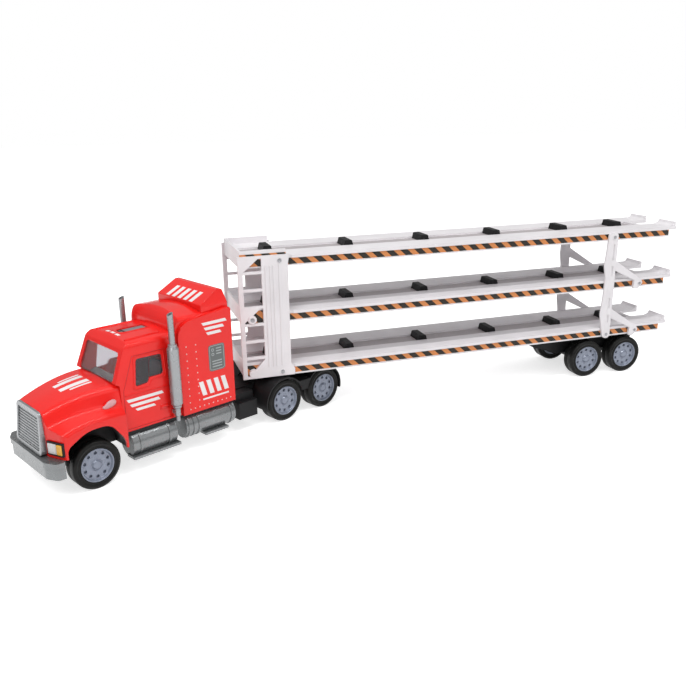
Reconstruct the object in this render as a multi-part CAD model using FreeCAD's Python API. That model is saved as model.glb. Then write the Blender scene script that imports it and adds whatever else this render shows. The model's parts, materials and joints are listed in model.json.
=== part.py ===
"""Toy articulated car transporter: a bonnet tractor with sleeper and a three-deck semi-trailer.

Millimetres, +Z up, +X forward along the trailer, +Y to its left. The trailer is drawn with its
front axle over x = 0, the tractor with its front drive axle over x = 0, and the tractor is then
turned about the kingpin into its parked pose. At the end everything moves so that the origin lies
under the middle of the whole outline, on the floor.
"""
import FreeCAD, Part
import math
import os

V = FreeCAD.Vector
Y_AXIS, Z_AXIS = V(0, 1, 0), V(0, 0, 1)
REACH = 300.0            # longer than any cut that has to pass right through a vehicle's width

# ---- wheels and axles ----
TYRE_R = 20.0
TYRE_W = 15.0
TYRE_CHAMFER = 2.2
RIM_R = 13.8             # seat between rim and tyre
WHEEL_FACE_Y = 39.5      # outer face of each tyre from the centre line
AXLE_R = 2.0             # steel rod
AXLE_GAP = 0.06          # radial running clearance of a rod in its bore
RIM_DISH = 2.2           # depth of the disc behind the tyre's outer face
DISC_T = 1.8
RIM_LIP = 1.6
HUB_R = 5.0
HUB_LEN = 12.0
HUB_CAP_R = 3.4
HUB_CAP_H = 1.6
RIM_HOLES = 10
RIM_HOLE_R = 1.05
RIM_HOLE_CIRCLE = 9.3
HANGER_LEN = 12.0        # blocks that carry the rods
HANGER_DROP = 5.5        # block below the rod's centre
HANGER_SIDE_GAP = 4.0    # between block and tyre
AXLE_Z = TYRE_R
HANGER_HALF = WHEEL_FACE_Y - TYRE_W - HANGER_SIDE_GAP

# ---- tractor, lengths forward of its front drive axle ----
DRIVE_SPACING = 49.0     # front to rear drive axle
KINGPIN_BACK = 21.0      # kingpin behind the front drive axle
SLEEPER_REAR_X = 56.5
SLEEPER_LEN = 54.5
CAB_LEN = 52.0
HOOD_LEN = 59.0
AXLE_SETBACK = 31.4      # front axle behind the hood's front
CAB_REAR_X = SLEEPER_REAR_X + SLEEPER_LEN
HOOD_REAR_X = CAB_REAR_X + CAB_LEN
HOOD_FRONT_X = HOOD_REAR_X + HOOD_LEN
FRONT_AXLE_X = HOOD_FRONT_X - AXLE_SETBACK
CHASSIS_REAR_X = -DRIVE_SPACING - 29.0

# ---- tractor, heights and widths ----
WALL = 2.0               # moulded wall of the red body
RAIL_Y = 14.0            # outer face of the chassis rails
RAIL_T = 4.0
RAIL_H = 12.0
RAIL_Z = AXLE_Z + 4.0
CHASSIS_TOP_Z = RAIL_Z + RAIL_H
PLATE_T = 2.0            # web between the rails
FLOOR_T = 3.0            # floor that carries cab and sleeper
BODY_FLOOR_Z = CHASSIS_TOP_Z + 1.0
FLOOR_Z = BODY_FLOOR_Z - FLOOR_T
CAB_HALF = 34.5          # the widths below follow the cab's
BELT_H = 40.0            # hood line above the cab's lower edge
CAB_H = 74.5
BELT_Z = BODY_FLOOR_Z + BELT_H
ROOF_Z = BODY_FLOOR_Z + CAB_H
ROOF_DROP = 2.0          # roof edge below its crown
ROOF_HALF = CAB_HALF - 3.0
PILLAR_LEAN = 10.0       # windscreen top behind its foot
COWL_LEN = 3.5           # windscreen foot ahead of the hood's rear edge
COWL_RISE = 2.0          # windscreen foot above the hood line
SCREEN_TOP_GAP = 9.5     # windscreen top below the roof's crown
PILLAR_W = 6.0           # beside the windscreen
FENDER_HALF = CAB_HALF + 8.0
FENDER_DROP = 10.0       # fender's edge below the body's
FENDER_LOW_Z = BODY_FLOOR_Z - FENDER_DROP
ARCH_TOP_GAP = 12.0      # above the front tyre
ARCH_REAR_GAP = 5.6      # behind the front tyre
ARCH_FRONT_GAP = 3.0     # ahead of the front tyre
LINER_T = 1.2
LINER_INNER_Y = HANGER_HALF
NOSE_HALF = FENDER_HALF - 18.0       # flat of the nose
NOSE_BACK = 6.5          # length of the nose's corner faces
GRILLE_LOW_HALF = NOSE_HALF - 0.5
GRILLE_TOP_HALF = NOSE_HALF - 3.5
GRILLE_RISE = 31.5       # grille's top above the body's lower edge
GRILLE_TOP_Z = BODY_FLOOR_Z + GRILLE_RISE
GRILLE_T = 1.8           # at its top
GRILLE_TILT = 3.2        # more at its foot
GRILLE_RIM = 3.5
SLATS = 12
SLAT_T = 0.9
BUMPER_LOW_Z = AXLE_Z - 0.5
BUMPER_H = 14.0
BUMPER_LIP_H = 4.5
BUMPER_STEP = 0.9
BUMPER_T = 3.0
LEDGE_T = 1.0            # bumper's top, back to the nose
BUMPER_HALF = FENDER_HALF + 0.5
BUMPER_AHEAD = 7.5       # of the hood
LAMP_W = 16.0
LAMP_H = 11.0
LAMP_T = 1.4
SLEEPER_HALF = CAB_HALF + 1.0
SLEEPER_SIDE_Y = SLEEPER_HALF + 2.8  # outer face of the sleeper's side panels
SLEEPER_H = 90.5
SLEEPER_SHOULDER = 6.0   # roof edge below its crown
PANEL_FRONT_H = 80.0
PANEL_REAR_H = 86.5
FAIRING_LEN = 27.0
FAIRING_H = 11.0         # above the sleeper's roof
FAIRING_HALF = SLEEPER_HALF - 1.5
FAIRING_TOP_HALF = SLEEPER_HALF - 3.0
TANK_R = 11.0
TANK_Y = CAB_HALF - 7.5
TANK_Z = AXLE_Z + 4.5
TANK_GAP = 4.0           # tank ends inside the cab's and sleeper's lengths
BAND_W = 2.0             # straps round the tanks
BAND_H = 0.7
STEP_T = 2.2
EXHAUST_AHEAD = 5.6      # stack's centre ahead of the cab's rear
EXHAUST_Y = CAB_HALF + 5.3
MUFFLER_R = 4.9
PIPE_R = 2.5
PIPE_WALL = 0.7
MUFFLER_LOW_H = 12.0     # above the cab's lower edge
MUFFLER_H = 54.0
STACK_H = 94.0
GUARD_GAP = 1.4          # between drive tyre and mudguard
GUARD_T = 1.4
BATTERY_LEN = 20.5
BATTERY_GAP = 8.0        # behind the sleeper
BATTERY_LOW_Z = 12.5
FIFTH_WHEEL_R = 20.0
FIFTH_WHEEL_T = 4.0
HATCH_LEN = 26.0
HATCH_HALF = 7.0
HATCH_SINK = 1.0
SEAT_W = 18.0
SEAT_Y = CAB_HALF - 18.5
STEERING_R = 7.0
GUARD_R = TYRE_R + GUARD_GAP + GUARD_T
BUMPER_TOP_Z = BUMPER_LOW_Z + BUMPER_H
BUMPER_FRONT_X = HOOD_FRONT_X + BUMPER_AHEAD
SLEEPER_TOP_Z = BODY_FLOOR_Z + SLEEPER_H

# ---- kingpin ----
KINGPIN_X = 336.0        # ahead of the trailer's front axle
KINGPIN_R = 4.0
KINGPIN_GAP = 0.08
COUPLING_GAP = 0.3       # between fifth wheel and coupling plate
COUPLING_T = 5.0
PARK_TURN = 25.6         # degrees the tractor is turned to the left of straight ahead

# ---- trailer ----
TRAILER_SPACING = 48.5
DECKS = 3
DECK_PITCH = 52.1
DECK_HALF = 39.6         # half width of each deck plate
DECK_T = 2.7
SKIRT_H = 5.8
SKIRT_T = 2.0
SKIRT_Y = DECK_HALF - 1.0            # outer face of the skirts
FLANGE_H = 1.4
FLANGE_W = 4.0
GUARD_DECK_GAP = 1.3     # mudguards pass under the lower deck when the tractor turns
CHANNEL_HALF = 11.0
CHANNEL_DEEP = 1.5
CHANNEL_END = 7.5        # channel's front end behind the deck's
DECK_FRONT_X = 374.5
SKIRT_REAR_X = -90.0
TAIL_LEN = 11.0          # tongues behind the skirts
TAIL_LIP_H = 4.6
TAIL_LIP_LEN = 9.0
TAIL_NOTCH = 26.0
TAIL_R = 4.0
BAND_T = 0.3             # striped band on each skirt
FRONT_WALL_H = 6.0       # low wall round each deck's front
FRONT_WALL_T = 2.0
FRONT_BAND_H = 2.8       # band on that wall, above the deck
DECK_RIBS_X = (20.0, 110.0, 200.0)     # cross ribs under each deck, besides the tail's
SIDE_T = 2.9             # side frames
POST_X = (330.5, 355.0)
POST_FLARE = 3.5
RIB_T = 0.5              # ribs and bosses proud of the side frames
RIB_W = 1.6
RIBS_ON_POST = (0.34, 0.55, 0.68, 0.85)
LADDER_FRONT_X = 376.5
LADDER_BAR = 4.2
FRAME_BELOW = 0.5        # side frame's foot above the lower deck's flange
FRAME_ABOVE = 1.2        # side frame's top above the upper deck
RUNGS = 6
RUNG_H = 2.4
RUNG_PITCH = 16.0
RUNG_FIRST = 18.6        # lowest rung above the side frame's foot
GUSSET_LEN = 19.0
GUSSET_H = 16.0
BOSS_R = 4.0
ARM_X = -19.0
ARM_REAR = 4.3           # arm behind and ahead of its pins
ARM_AHEAD = 7.0
ARM_BULGE = 1.5
ARM_BEVEL = 4.5
ARM_T = 3.4
ARM_END = 4.8            # arm past its pins
SLOT_W = 2.0
SLOT_DEEP = 0.8
FOOT_REACH = 37.0        # foot pins behind the arm
FOOT_RISE = 29.0
STOP_LEN = 10.0
STOP_H = 4.5
STOP_SIDE_GAP = 0.5
STOPS_X = (342.0, 262.0, 182.0, 102.0, 22.0, -46.0)
BOGIE_FRONT_X = 74.0
BOGIE_REAR_X = -76.0
BOGIE_HALF = 20.0
BOGIE_WALL = 4.0
BOGIE_LOW_Z = AXLE_Z + 4.0
SEAT_HALF = 30.0
COUPLING_HALF = 26.0
COUPLING_REAR = 46.0     # plate behind the kingpin

FLANGE_BOTTOM = DECK_T + SKIRT_H + FLANGE_H      # below a deck's top
DECK_TOP_Z = AXLE_Z + GUARD_R + GUARD_DECK_GAP + FLANGE_BOTTOM
DECK_TOPS = [DECK_TOP_Z + DECK_PITCH * i for i in range(DECKS)]
DECK_NAMES = ("lower", "middle", "upper")
COUPLING_Z = DECK_TOP_Z - DECK_T - COUPLING_T
TAIL_X = SKIRT_REAR_X - TAIL_LEN
FRAME_Y = SKIRT_Y + BAND_T
SIDE_Y = FRAME_Y + SIDE_T
FRAME_FOOT_Z = DECK_TOP_Z - FLANGE_BOTTOM + FRAME_BELOW
FRAME_TOP_Z = DECK_TOPS[-1] + FRAME_ABOVE
NARROW_X = POST_X[0] - POST_FLARE - 0.5            # decks narrow to pass between the side frames
FRONT_WALL_X = POST_X[0] + 1.0
TAIL_RIB_X = TAIL_X + TAIL_NOTCH
RUNGS_Z = [FRAME_FOOT_Z + RUNG_FIRST + RUNG_PITCH * i for i in range(RUNGS)]

nodes = {}


# ---- small helpers ----
def outline(corners, to_space):
    """Closed wire from (a, b) or (a, b, radius) corners, mapped to space by to_space(a, b).

    Where two rounded corners share an edge too short for both, both roundings shrink to fit it.
    """
    count = len(corners)
    points = [V(c[0], c[1], 0) for c in corners]
    radii = [c[2] if len(c) > 2 else 0 for c in corners]
    halves, fits = [], [1.0] * count
    for i in range(count):
        to_before, to_after = points[i - 1] - points[i], points[(i + 1) % count] - points[i]
        halves.append(to_before.getAngle(to_after) / 2)
    for i in range(count):
        nxt = (i + 1) % count
        used = radii[i] / math.tan(halves[i]) + radii[nxt] / math.tan(halves[nxt])
        room = (points[nxt] - points[i]).Length * 0.98
        if used > room:
            fits[i], fits[nxt] = min(fits[i], room / used), min(fits[nxt], room / used)
    starts, mids, ends = [], [], []
    for i, here in enumerate(points):
        radius = radii[i] * fits[i]
        to_before = (points[i - 1] - here).normalize()
        to_after = (points[(i + 1) % count] - here).normalize()
        reach = radius / math.tan(halves[i])
        starts.append(here + to_before * reach)
        ends.append(here + to_after * reach)
        bisector = to_before + to_after
        if radius > 0:
            bisector.normalize()
            mids.append(here + bisector * (radius / math.sin(halves[i]) - radius))
        else:
            mids.append(None)
    place = lambda p: to_space(p.x, p.y)
    edges = []
    for i in range(count):
        if mids[i] is not None:
            edges.append(Part.Arc(place(starts[i]), place(mids[i]), place(ends[i])).toShape())
        nxt = (i + 1) % count
        if (ends[i] - starts[nxt]).Length > 1e-6:
            edges.append(Part.LineSegment(place(ends[i]), place(starts[nxt])).toShape())
    return Part.Wire(edges)


def side_prism(corners, y0, y1):
    """Outline drawn in (x, z), extruded from y0 to y1."""
    wire = outline(corners, lambda a, b: V(a, y0, b))
    return Part.Face(wire).extrude(V(0, y1 - y0, 0))


def plan_prism(corners, z0, z1):
    """Outline drawn in (x, y), extruded from z0 to z1."""
    wire = outline(corners, lambda a, b: V(a, b, z0))
    return Part.Face(wire).extrude(V(0, 0, z1 - z0))


def front_prism(corners, x0, x1):
    """Outline drawn in (y, z), extruded from x0 to x1."""
    wire = outline(corners, lambda a, b: V(x0, a, b))
    return Part.Face(wire).extrude(V(x1 - x0, 0, 0))


def box(x0, x1, y0, y1, z0, z1):
    return Part.makeBox(x1 - x0, y1 - y0, z1 - z0, V(x0, y0, z0))


def side_box(side, x0, x1, y0, y1, z0, z1):
    """Box whose y runs outward from the centre line on the given side (1 left, -1 right)."""
    low, high = sorted((side * y0, side * y1))
    return box(x0, x1, low, high, z0, z1)


def rod(radius, start, end):
    return Part.makeCylinder(radius, (end - start).Length, start, end - start)


def fuse(shapes):
    return shapes[0].multiFuse(shapes[1:]).removeSplitter() if len(shapes) > 1 else shapes[0]


def mirror(shape):
    return shape.mirror(V(0, 0, 0), Y_AXIS)


def both(shape):
    return Part.makeCompound([shape, mirror(shape)])


def lathe(profile, centre, axis):
    """Solid of revolution from (radius, along) points about an axis through centre."""
    side = V(0, 0, 1) if abs(axis.z) < 0.5 else V(1, 0, 0)
    points = [centre + side * r + axis * a for r, a in profile]
    wire = Part.makePolygon(points + [points[0]])
    return Part.Face(wire).revolve(centre, axis, 360)


def trapezoid(half_low, z_low, half_high, z_high, radius):
    return [(-half_low, z_low, radius), (half_low, z_low, radius),
            (half_high, z_high, radius), (-half_high, z_high, radius)]


# ---- wheels ----
def wheel_rim(x, side):
    face, out = WHEEL_FACE_Y * side, side
    web = face - out * RIM_DISH
    inner = face - out * (TYRE_W - 1.0)
    centre = V(x, 0, AXLE_Z)
    rod_end = web - out * DISC_T
    profile = [(AXLE_R, web - out * HUB_LEN), (HUB_R, web - out * HUB_LEN), (HUB_R, rod_end),
               (RIM_R - RIM_LIP, rod_end), (RIM_R - RIM_LIP, inner), (RIM_R, inner),
               (RIM_R, face), (RIM_R - 1.0, face), (RIM_R - RIM_LIP, web), (HUB_CAP_R + 1.2, web),
               (HUB_CAP_R, web + out * HUB_CAP_H), (0, web + out * HUB_CAP_H), (0, rod_end),
               (AXLE_R, rod_end)]
    rim = lathe(profile, centre, Y_AXIS)
    holes = []
    for i in range(RIM_HOLES):
        turn = 2 * math.pi * i / RIM_HOLES
        spot = centre + V(RIM_HOLE_CIRCLE * math.cos(turn), 0, RIM_HOLE_CIRCLE * math.sin(turn))
        holes.append(rod(RIM_HOLE_R, spot + V(0, web + out, 0), spot + V(0, rod_end - out, 0)))
    return rim.cut(Part.makeCompound(holes))


def wheel_tyre(x, side):
    face, out = WHEEL_FACE_Y * side, side
    inner = face - out * TYRE_W
    edge = TYRE_CHAMFER / 4
    profile = [(RIM_R, face), (TYRE_R - TYRE_CHAMFER, face), (TYRE_R - edge, face - out * edge),
               (TYRE_R, face - out * TYRE_CHAMFER), (TYRE_R, inner + out * TYRE_CHAMFER),
               (TYRE_R - TYRE_CHAMFER, inner), (RIM_R, inner)]
    return lathe(profile, V(x, 0, AXLE_Z), Y_AXIS)


def wheel_set(name, x, place):
    """One rod with a rim and a tyre on each end, all turning together."""
    reach = WHEEL_FACE_Y - RIM_DISH - DISC_T
    nodes[name + "_axle"] = place(rod(AXLE_R, V(x, -reach, AXLE_Z), V(x, reach, AXLE_Z)))
    nodes[name + "_rims"] = place(Part.makeCompound([wheel_rim(x, s) for s in (1, -1)]))
    nodes[name + "_tyres"] = place(Part.makeCompound([wheel_tyre(x, s) for s in (1, -1)]))


def hanger_block(x, z_top):
    """Cross block under a chassis with the bore that carries one axle rod."""
    half, taper = HANGER_LEN / 2, 2.0
    low = AXLE_Z - HANGER_DROP
    return side_prism([(x - half, low, 3), (x + half, low, 3), (x + half + taper, z_top),
                       (x - half - taper, z_top)], -HANGER_HALF, HANGER_HALF)


def axle_bore(x):
    return rod(AXLE_R + AXLE_GAP, V(x, -REACH, AXLE_Z), V(x, REACH, AXLE_Z))


# ---- tractor: hood ----
# Each section: ahead of the hood's rear edge as a share of its length, then how far beyond the cab's
# half width and above the body's lower edge lie the fender's shoulder, the waist and the hood's edge.
HOOD_SECTIONS = (
    (0.00, 5.5, 19.0, 0.0, 24.0, -2.5, 40.5),
    (0.36, 8.0, 22.0, -1.5, 26.0, -5.5, 40.0),
    (0.70, 8.0, 19.5, -4.5, 25.0, -9.0, 36.3),
    (1.00, 8.0, 12.5, -7.5, 20.0, -11.7, 30.5),
)
HOOD_CROWN = 1.6


def hood_form(inset):
    sections = []
    for share, fender, fender_z, waist, waist_z, edge, edge_z in HOOD_SECTIONS:
        x = HOOD_REAR_X + share * HOOD_LEN
        low, half = FENDER_LOW_Z - inset, CAB_HALF - inset
        right = [(half + fender, low), (half + fender, BODY_FLOOR_Z + fender_z - inset, 5),
                 (half + waist, BODY_FLOOR_Z + waist_z - inset, 6),
                 (half + edge, BODY_FLOOR_Z + edge_z - inset, 6)]
        left = [(-c[0],) + c[1:] for c in reversed(right)]
        crown = [(0, BODY_FLOOR_Z + edge_z + HOOD_CROWN - inset, 120)]
        sections.append(outline(right + crown + left, lambda a, b: V(x, a, b)))
    return Part.makeLoft(sections, True, False)


def nose_plan(inset, z0, z1):
    front, back = HOOD_FRONT_X - inset, HOOD_REAR_X - REACH
    half, flat = FENDER_HALF - inset, NOSE_HALF - inset / 2
    corner = HOOD_FRONT_X - NOSE_BACK - inset / 2
    return plan_prism([(back, -half), (corner, -half, 6), (front, -flat, 3), (front, flat, 3),
                       (corner, half, 6), (back, half)], z0, z1)


def arch_outline(grow):
    """Wheel arch seen from the side, long and low towards the nose."""
    rear = FRONT_AXLE_X - TYRE_R - ARCH_REAR_GAP - grow
    front = FRONT_AXLE_X + TYRE_R + ARCH_FRONT_GAP + grow
    top = AXLE_Z + TYRE_R + ARCH_TOP_GAP + grow
    return [(rear, AXLE_Z - TYRE_R), (rear, top - 18, 14), (rear + 13, top, 14),
            (rear + 32, top, 26), (front, top - 9.5, 7), (front, AXLE_Z - TYRE_R)]


def make_hood():
    outer = hood_form(0).common(nose_plan(0, 0, REACH))
    cavity = hood_form(WALL).common(nose_plan(WALL, 0, REACH))
    arch = both(side_prism(arch_outline(0), LINER_INNER_Y, FENDER_HALF + WALL))
    behind_bumper = box(HOOD_FRONT_X - NOSE_BACK - WALL, HOOD_FRONT_X + 1, -REACH, REACH, 0,
                        BUMPER_TOP_Z)
    hood = outer.cut(cavity).cut(arch).cut(behind_bumper)
    return hood.cut(both(side_lamp())).cut(cab_form(0))


def make_arch_liner():
    top = side_prism(arch_outline(LINER_T), LINER_INNER_Y, FENDER_HALF - WALL)
    room = side_prism(arch_outline(0), LINER_INNER_Y + LINER_T, FENDER_HALF)
    below = box(0, REACH, 0, REACH, 0, BUMPER_TOP_Z - 6)
    inside = hood_form(WALL).common(nose_plan(WALL, 0, REACH))
    return top.cut(room).cut(below).common(inside).cut(bumper_form(0))


def side_lamp():
    """Teardrop marker lamp let into the hood's side."""
    x, z = HOOD_REAR_X + 4, BODY_FLOOR_Z + 25.5
    return side_prism([(x, z, 1.8), (x + 11, z, 1.8), (x + 11, z + 4.2, 2), (x + 3, z + 4, 2)],
                      CAB_HALF - WALL * 2, CAB_HALF + 0.3)


# ---- tractor: cab ----
def cab_side_outline(inset):
    low, front = BODY_FLOOR_Z - WALL * inset, HOOD_REAR_X - inset
    rear = CAB_REAR_X - 5
    foot = HOOD_REAR_X + COWL_LEN - inset
    top = ROOF_Z + 1 - inset
    return [(rear, low), (front, low), (front, BELT_Z), (foot, BELT_Z + COWL_RISE),
            (foot - PILLAR_LEAN, ROOF_Z - 6.5, 5), (foot - PILLAR_LEAN - 7.5, top, 12), (rear, top)]


def cab_front_outline(inset):
    half, roof = CAB_HALF - inset, ROOF_HALF - inset
    low, waist = BODY_FLOOR_Z - WALL * inset, BELT_Z - 5
    right = [(half, low), (half, waist, 30), (roof, ROOF_Z - ROOF_DROP - inset, 5)]
    left = [(-c[0],) + c[1:] for c in reversed(right)]
    return right + [(0, ROOF_Z - inset, 80)] + left


def cab_form(inset):
    side = side_prism(cab_side_outline(inset), -REACH, REACH)
    return side.common(front_prism(cab_front_outline(inset), CAB_REAR_X, HOOD_FRONT_X))


def windscreen_opening():
    screen = trapezoid(CAB_HALF - PILLAR_W, BELT_Z + COWL_RISE, ROOF_HALF - PILLAR_W + 1.5,
                       ROOF_Z - SCREEN_TOP_GAP, 3)
    return front_prism(screen, HOOD_REAR_X - PILLAR_LEAN - COWL_LEN, HOOD_FRONT_X)


def side_window_opening():
    rear, front = CAB_REAR_X + 12.5, HOOD_REAR_X - 13.5
    top, low = ROOF_Z - 16.5, BELT_Z + 1.0
    window = [(front, low - 5, 2), (front - 3, top + 0.5, 2.5), (rear, top, 2.5), (rear, low, 2.5),
              (rear + 13, low, 2), (rear + 15, low - 4, 2)]
    return both(side_prism(window, CAB_HALF - 9, CAB_HALF + 9))


def hatch_opening():
    middle = CAB_REAR_X + 20
    return box(middle - HATCH_LEN / 2, middle + HATCH_LEN / 2, -HATCH_HALF, HATCH_HALF,
               ROOF_Z - 12, ROOF_Z + 5)


def make_cab():
    shell = cab_form(0).cut(cab_form(WALL))
    hood_side = box(HOOD_REAR_X, HOOD_FRONT_X, -REACH, REACH, 0, BELT_Z)
    screen, window, hatch = windscreen_opening(), side_window_opening(), hatch_opening()
    nodes["cab_body"] = shell.cut(hood_side).cut(screen).cut(window).cut(hatch)
    glass_shell = cab_form(WALL / 4).cut(cab_form(WALL))
    nodes["windscreen"] = glass_shell.common(screen)
    nodes["side_windows"] = glass_shell.common(window)
    nodes["roof_hatch"] = cab_form(HATCH_SINK).cut(cab_form(WALL)).common(hatch)


# ---- tractor: sleeper ----
def sleeper_form(inset):
    x0, x1 = SLEEPER_REAR_X + inset, CAB_REAR_X - inset
    low, half = BODY_FLOOR_Z - WALL * inset, SLEEPER_HALF - inset
    crown, shoulder = SLEEPER_TOP_Z - inset, SLEEPER_TOP_Z - SLEEPER_SHOULDER - inset
    side = side_prism([(x0, low), (x1, low), (x1, crown + 2, 20), (x0, crown + 2)], -REACH, REACH)
    front = front_prism([(-half, low), (half, low), (half, shoulder, 4), (0, crown, 150),
                         (-half, shoulder, 4)], x0, x1)
    return side.common(front)


def sleeper_side_panel():
    front = CAB_REAR_X - 1
    return side_prism([(SLEEPER_REAR_X, BODY_FLOOR_Z), (front, BODY_FLOOR_Z),
                       (front, BODY_FLOOR_Z + PANEL_FRONT_H, 14),
                       (SLEEPER_REAR_X, BODY_FLOOR_Z + PANEL_REAR_H, 3)],
                      SLEEPER_HALF - WALL / 2, SLEEPER_SIDE_Y)


def make_sleeper():
    panels = both(sleeper_side_panel())
    dome = sleeper_form(0).fuse(panels.Solids[0]).fuse(panels.Solids[1])
    nodes["sleeper_body"] = dome.cut(sleeper_form(WALL))
    rear, low = SLEEPER_REAR_X, SLEEPER_TOP_Z - SLEEPER_SHOULDER - 4
    roof, top = SLEEPER_TOP_Z - 1, SLEEPER_TOP_Z + FAIRING_H
    wedge = side_prism([(rear, low), (rear + FAIRING_LEN, low), (rear + FAIRING_LEN, roof + 1.5, 1),
                        (rear + 9, top, 2), (rear + 4, top, 2), (rear, roof, 2)], -REACH, REACH)
    ends = front_prism([(-FAIRING_HALF, low), (FAIRING_HALF, low), (FAIRING_HALF, roof - 0.5, 3),
                        (FAIRING_TOP_HALF, top), (-FAIRING_TOP_HALF, top),
                        (-FAIRING_HALF, roof - 0.5, 3)], rear, rear + REACH)
    nodes["roof_fairing"] = wedge.common(ends).cut(sleeper_form(0)).cut(panels)


# ---- tractor: silver pieces ----
def make_grille():
    """Tilted shell with a slatted recess."""
    low, top = BUMPER_TOP_Z + 0.5, GRILLE_TOP_Z
    back, foot = HOOD_FRONT_X, HOOD_FRONT_X + GRILLE_T + GRILLE_TILT
    wedge = side_prism([(back, low), (foot, low), (back + GRILLE_T, top), (back, top)],
                       -REACH, REACH)
    plate = wedge.common(front_prism(trapezoid(GRILLE_LOW_HALF, low, GRILLE_TOP_HALF, top, 4),
                                     back, foot))
    low_half, top_half = GRILLE_LOW_HALF - GRILLE_RIM, GRILLE_TOP_HALF - GRILLE_RIM + 0.5
    low_in, top_in = low + GRILLE_RIM, top - GRILLE_RIM
    recess = front_prism(trapezoid(low_half, low_in, top_half, top_in, 2), back + 0.8, foot)
    slats = []
    pitch = (top_in - low_in) / SLATS
    for i in range(SLATS):
        z = low_in + pitch * (i + 0.5)
        share = (z - low_in) / (top_in - low_in)
        half = low_half + (top_half - low_half) * share
        depth = GRILLE_T + GRILLE_TILT * (1 - share) - 0.5
        slats.append(box(back + 0.6, back + depth, -half, half, z - SLAT_T / 2, z + SLAT_T / 2))
    return fuse([plate.cut(recess)] + slats)


def bumper_form(inset):
    """Wrap-round bar in plan, from its ends beside the fenders to its front."""
    half, front = BUMPER_HALF - inset, BUMPER_FRONT_X - inset
    ends = HOOD_FRONT_X - NOSE_BACK + 2.5
    bend = ends + 6 - inset / 2
    flat = BUMPER_HALF - 10.5 - inset / 2
    return plan_prism([(ends - inset, -half), (bend, -half, 4), (front, -flat, 8),
                       (front, flat, 8), (bend, half, 4), (ends - inset, half)],
                      BUMPER_LOW_Z, BUMPER_TOP_Z)


def make_bumper():
    """Stepped bar, open below, whose ledge the hood's nose stands on."""
    above_step = box(0, REACH, -REACH, REACH, BUMPER_TOP_Z - BUMPER_LIP_H, BUMPER_TOP_Z)
    face = bumper_form(BUMPER_STEP).fuse(bumper_form(0).common(above_step))
    under_ledge = box(0, REACH, -REACH, REACH, 0, BUMPER_TOP_Z - LEDGE_T)
    return face.removeSplitter().cut(bumper_form(BUMPER_T).common(under_ledge))


def make_headlamp():
    """Pad on the left corner face of the nose, between bumper and hood."""
    face_turn = math.degrees(math.atan2(NOSE_BACK, FENDER_HALF - NOSE_HALF))
    pad = box(-LAMP_T / 2, LAMP_T, -LAMP_W / 2, LAMP_W / 2, 0, LAMP_H)
    pad.rotate(V(0, 0, 0), Z_AXIS, face_turn)
    pad.translate(V(HOOD_FRONT_X - NOSE_BACK / 2, (FENDER_HALF + NOSE_HALF) / 2,
                    BUMPER_TOP_Z + 3))
    return pad.cut(nodes["hood"]).cut(hood_form(0).common(nose_plan(0, 0, REACH)))


def make_exhaust(side):
    x, y = CAB_REAR_X + EXHAUST_AHEAD, EXHAUST_Y * side
    foot, low = BODY_FLOOR_Z - 1.4, BODY_FLOOR_Z + MUFFLER_LOW_H
    high, tip = low + MUFFLER_H, BODY_FLOOR_Z + STACK_H
    collar = (MUFFLER_R + PIPE_R) / 2
    profile = [(0, foot), (PIPE_R - 0.7, foot), (PIPE_R - 0.7, foot + 4), (PIPE_R, foot + 5),
               (PIPE_R, low - 2), (collar, low - 1), (collar, low + 0.5), (MUFFLER_R, low + 2),
               (MUFFLER_R, high - 4), (collar, high - 2), (collar, high - 0.5), (PIPE_R, high),
               (PIPE_R, tip), (0, tip)]
    stack = lathe(profile, V(x, y, 0), Z_AXIS)
    slant = side_prism([(x - MUFFLER_R, tip + 1), (x - MUFFLER_R, tip - 0.5),
                        (x + MUFFLER_R, tip - 5), (x + MUFFLER_R, tip + 1)],
                       y - MUFFLER_R, y + MUFFLER_R)
    mouth = rod(PIPE_R - PIPE_WALL, V(x, y, tip - 13), V(x, y, tip + 1))
    bracket = side_box(side, x - 2, x + 2, CAB_HALF, EXHAUST_Y, foot + 6, foot + 9)
    return stack.fuse(bracket).cut(slant).cut(mouth)


def make_tanks(side):
    """Plain front tank and ribbed rear tank with their step plates."""
    y, z = TANK_Y * side, TANK_Z
    front_x = (CAB_REAR_X + TANK_GAP + 2, HOOD_REAR_X - TANK_GAP - 1)
    rear_x = (SLEEPER_REAR_X + 0.5, CAB_REAR_X - TANK_GAP + 1)
    step_z = TANK_Z - TANK_R - 0.4
    under_floor = box(0, REACH, -REACH, REACH, 0, FLOOR_Z)
    pieces = []
    straps = {front_x: (front_x[0] + 6, front_x[1] - 8),
              rear_x: (rear_x[0] + 3, rear_x[1] - 14, rear_x[1] - 9, rear_x[1] - 4)}
    steps = {front_x: (front_x[0] - 2, front_x[1] + 1), rear_x: (rear_x[0] + 9, rear_x[1] - 18)}
    for span in (front_x, rear_x):
        drum = rod(TANK_R, V(span[0], y, z), V(span[1], y, z))
        bands = [rod(TANK_R + BAND_H, V(x, y, z), V(x + BAND_W, y, z)) for x in straps[span]]
        step = side_box(side, steps[span][0], steps[span][1], TANK_Y, EXHAUST_Y - 1, step_z,
                        step_z + STEP_T)
        pieces.append(fuse([drum, step] + bands).common(under_floor))
    return Part.makeCompound(pieces)


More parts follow.
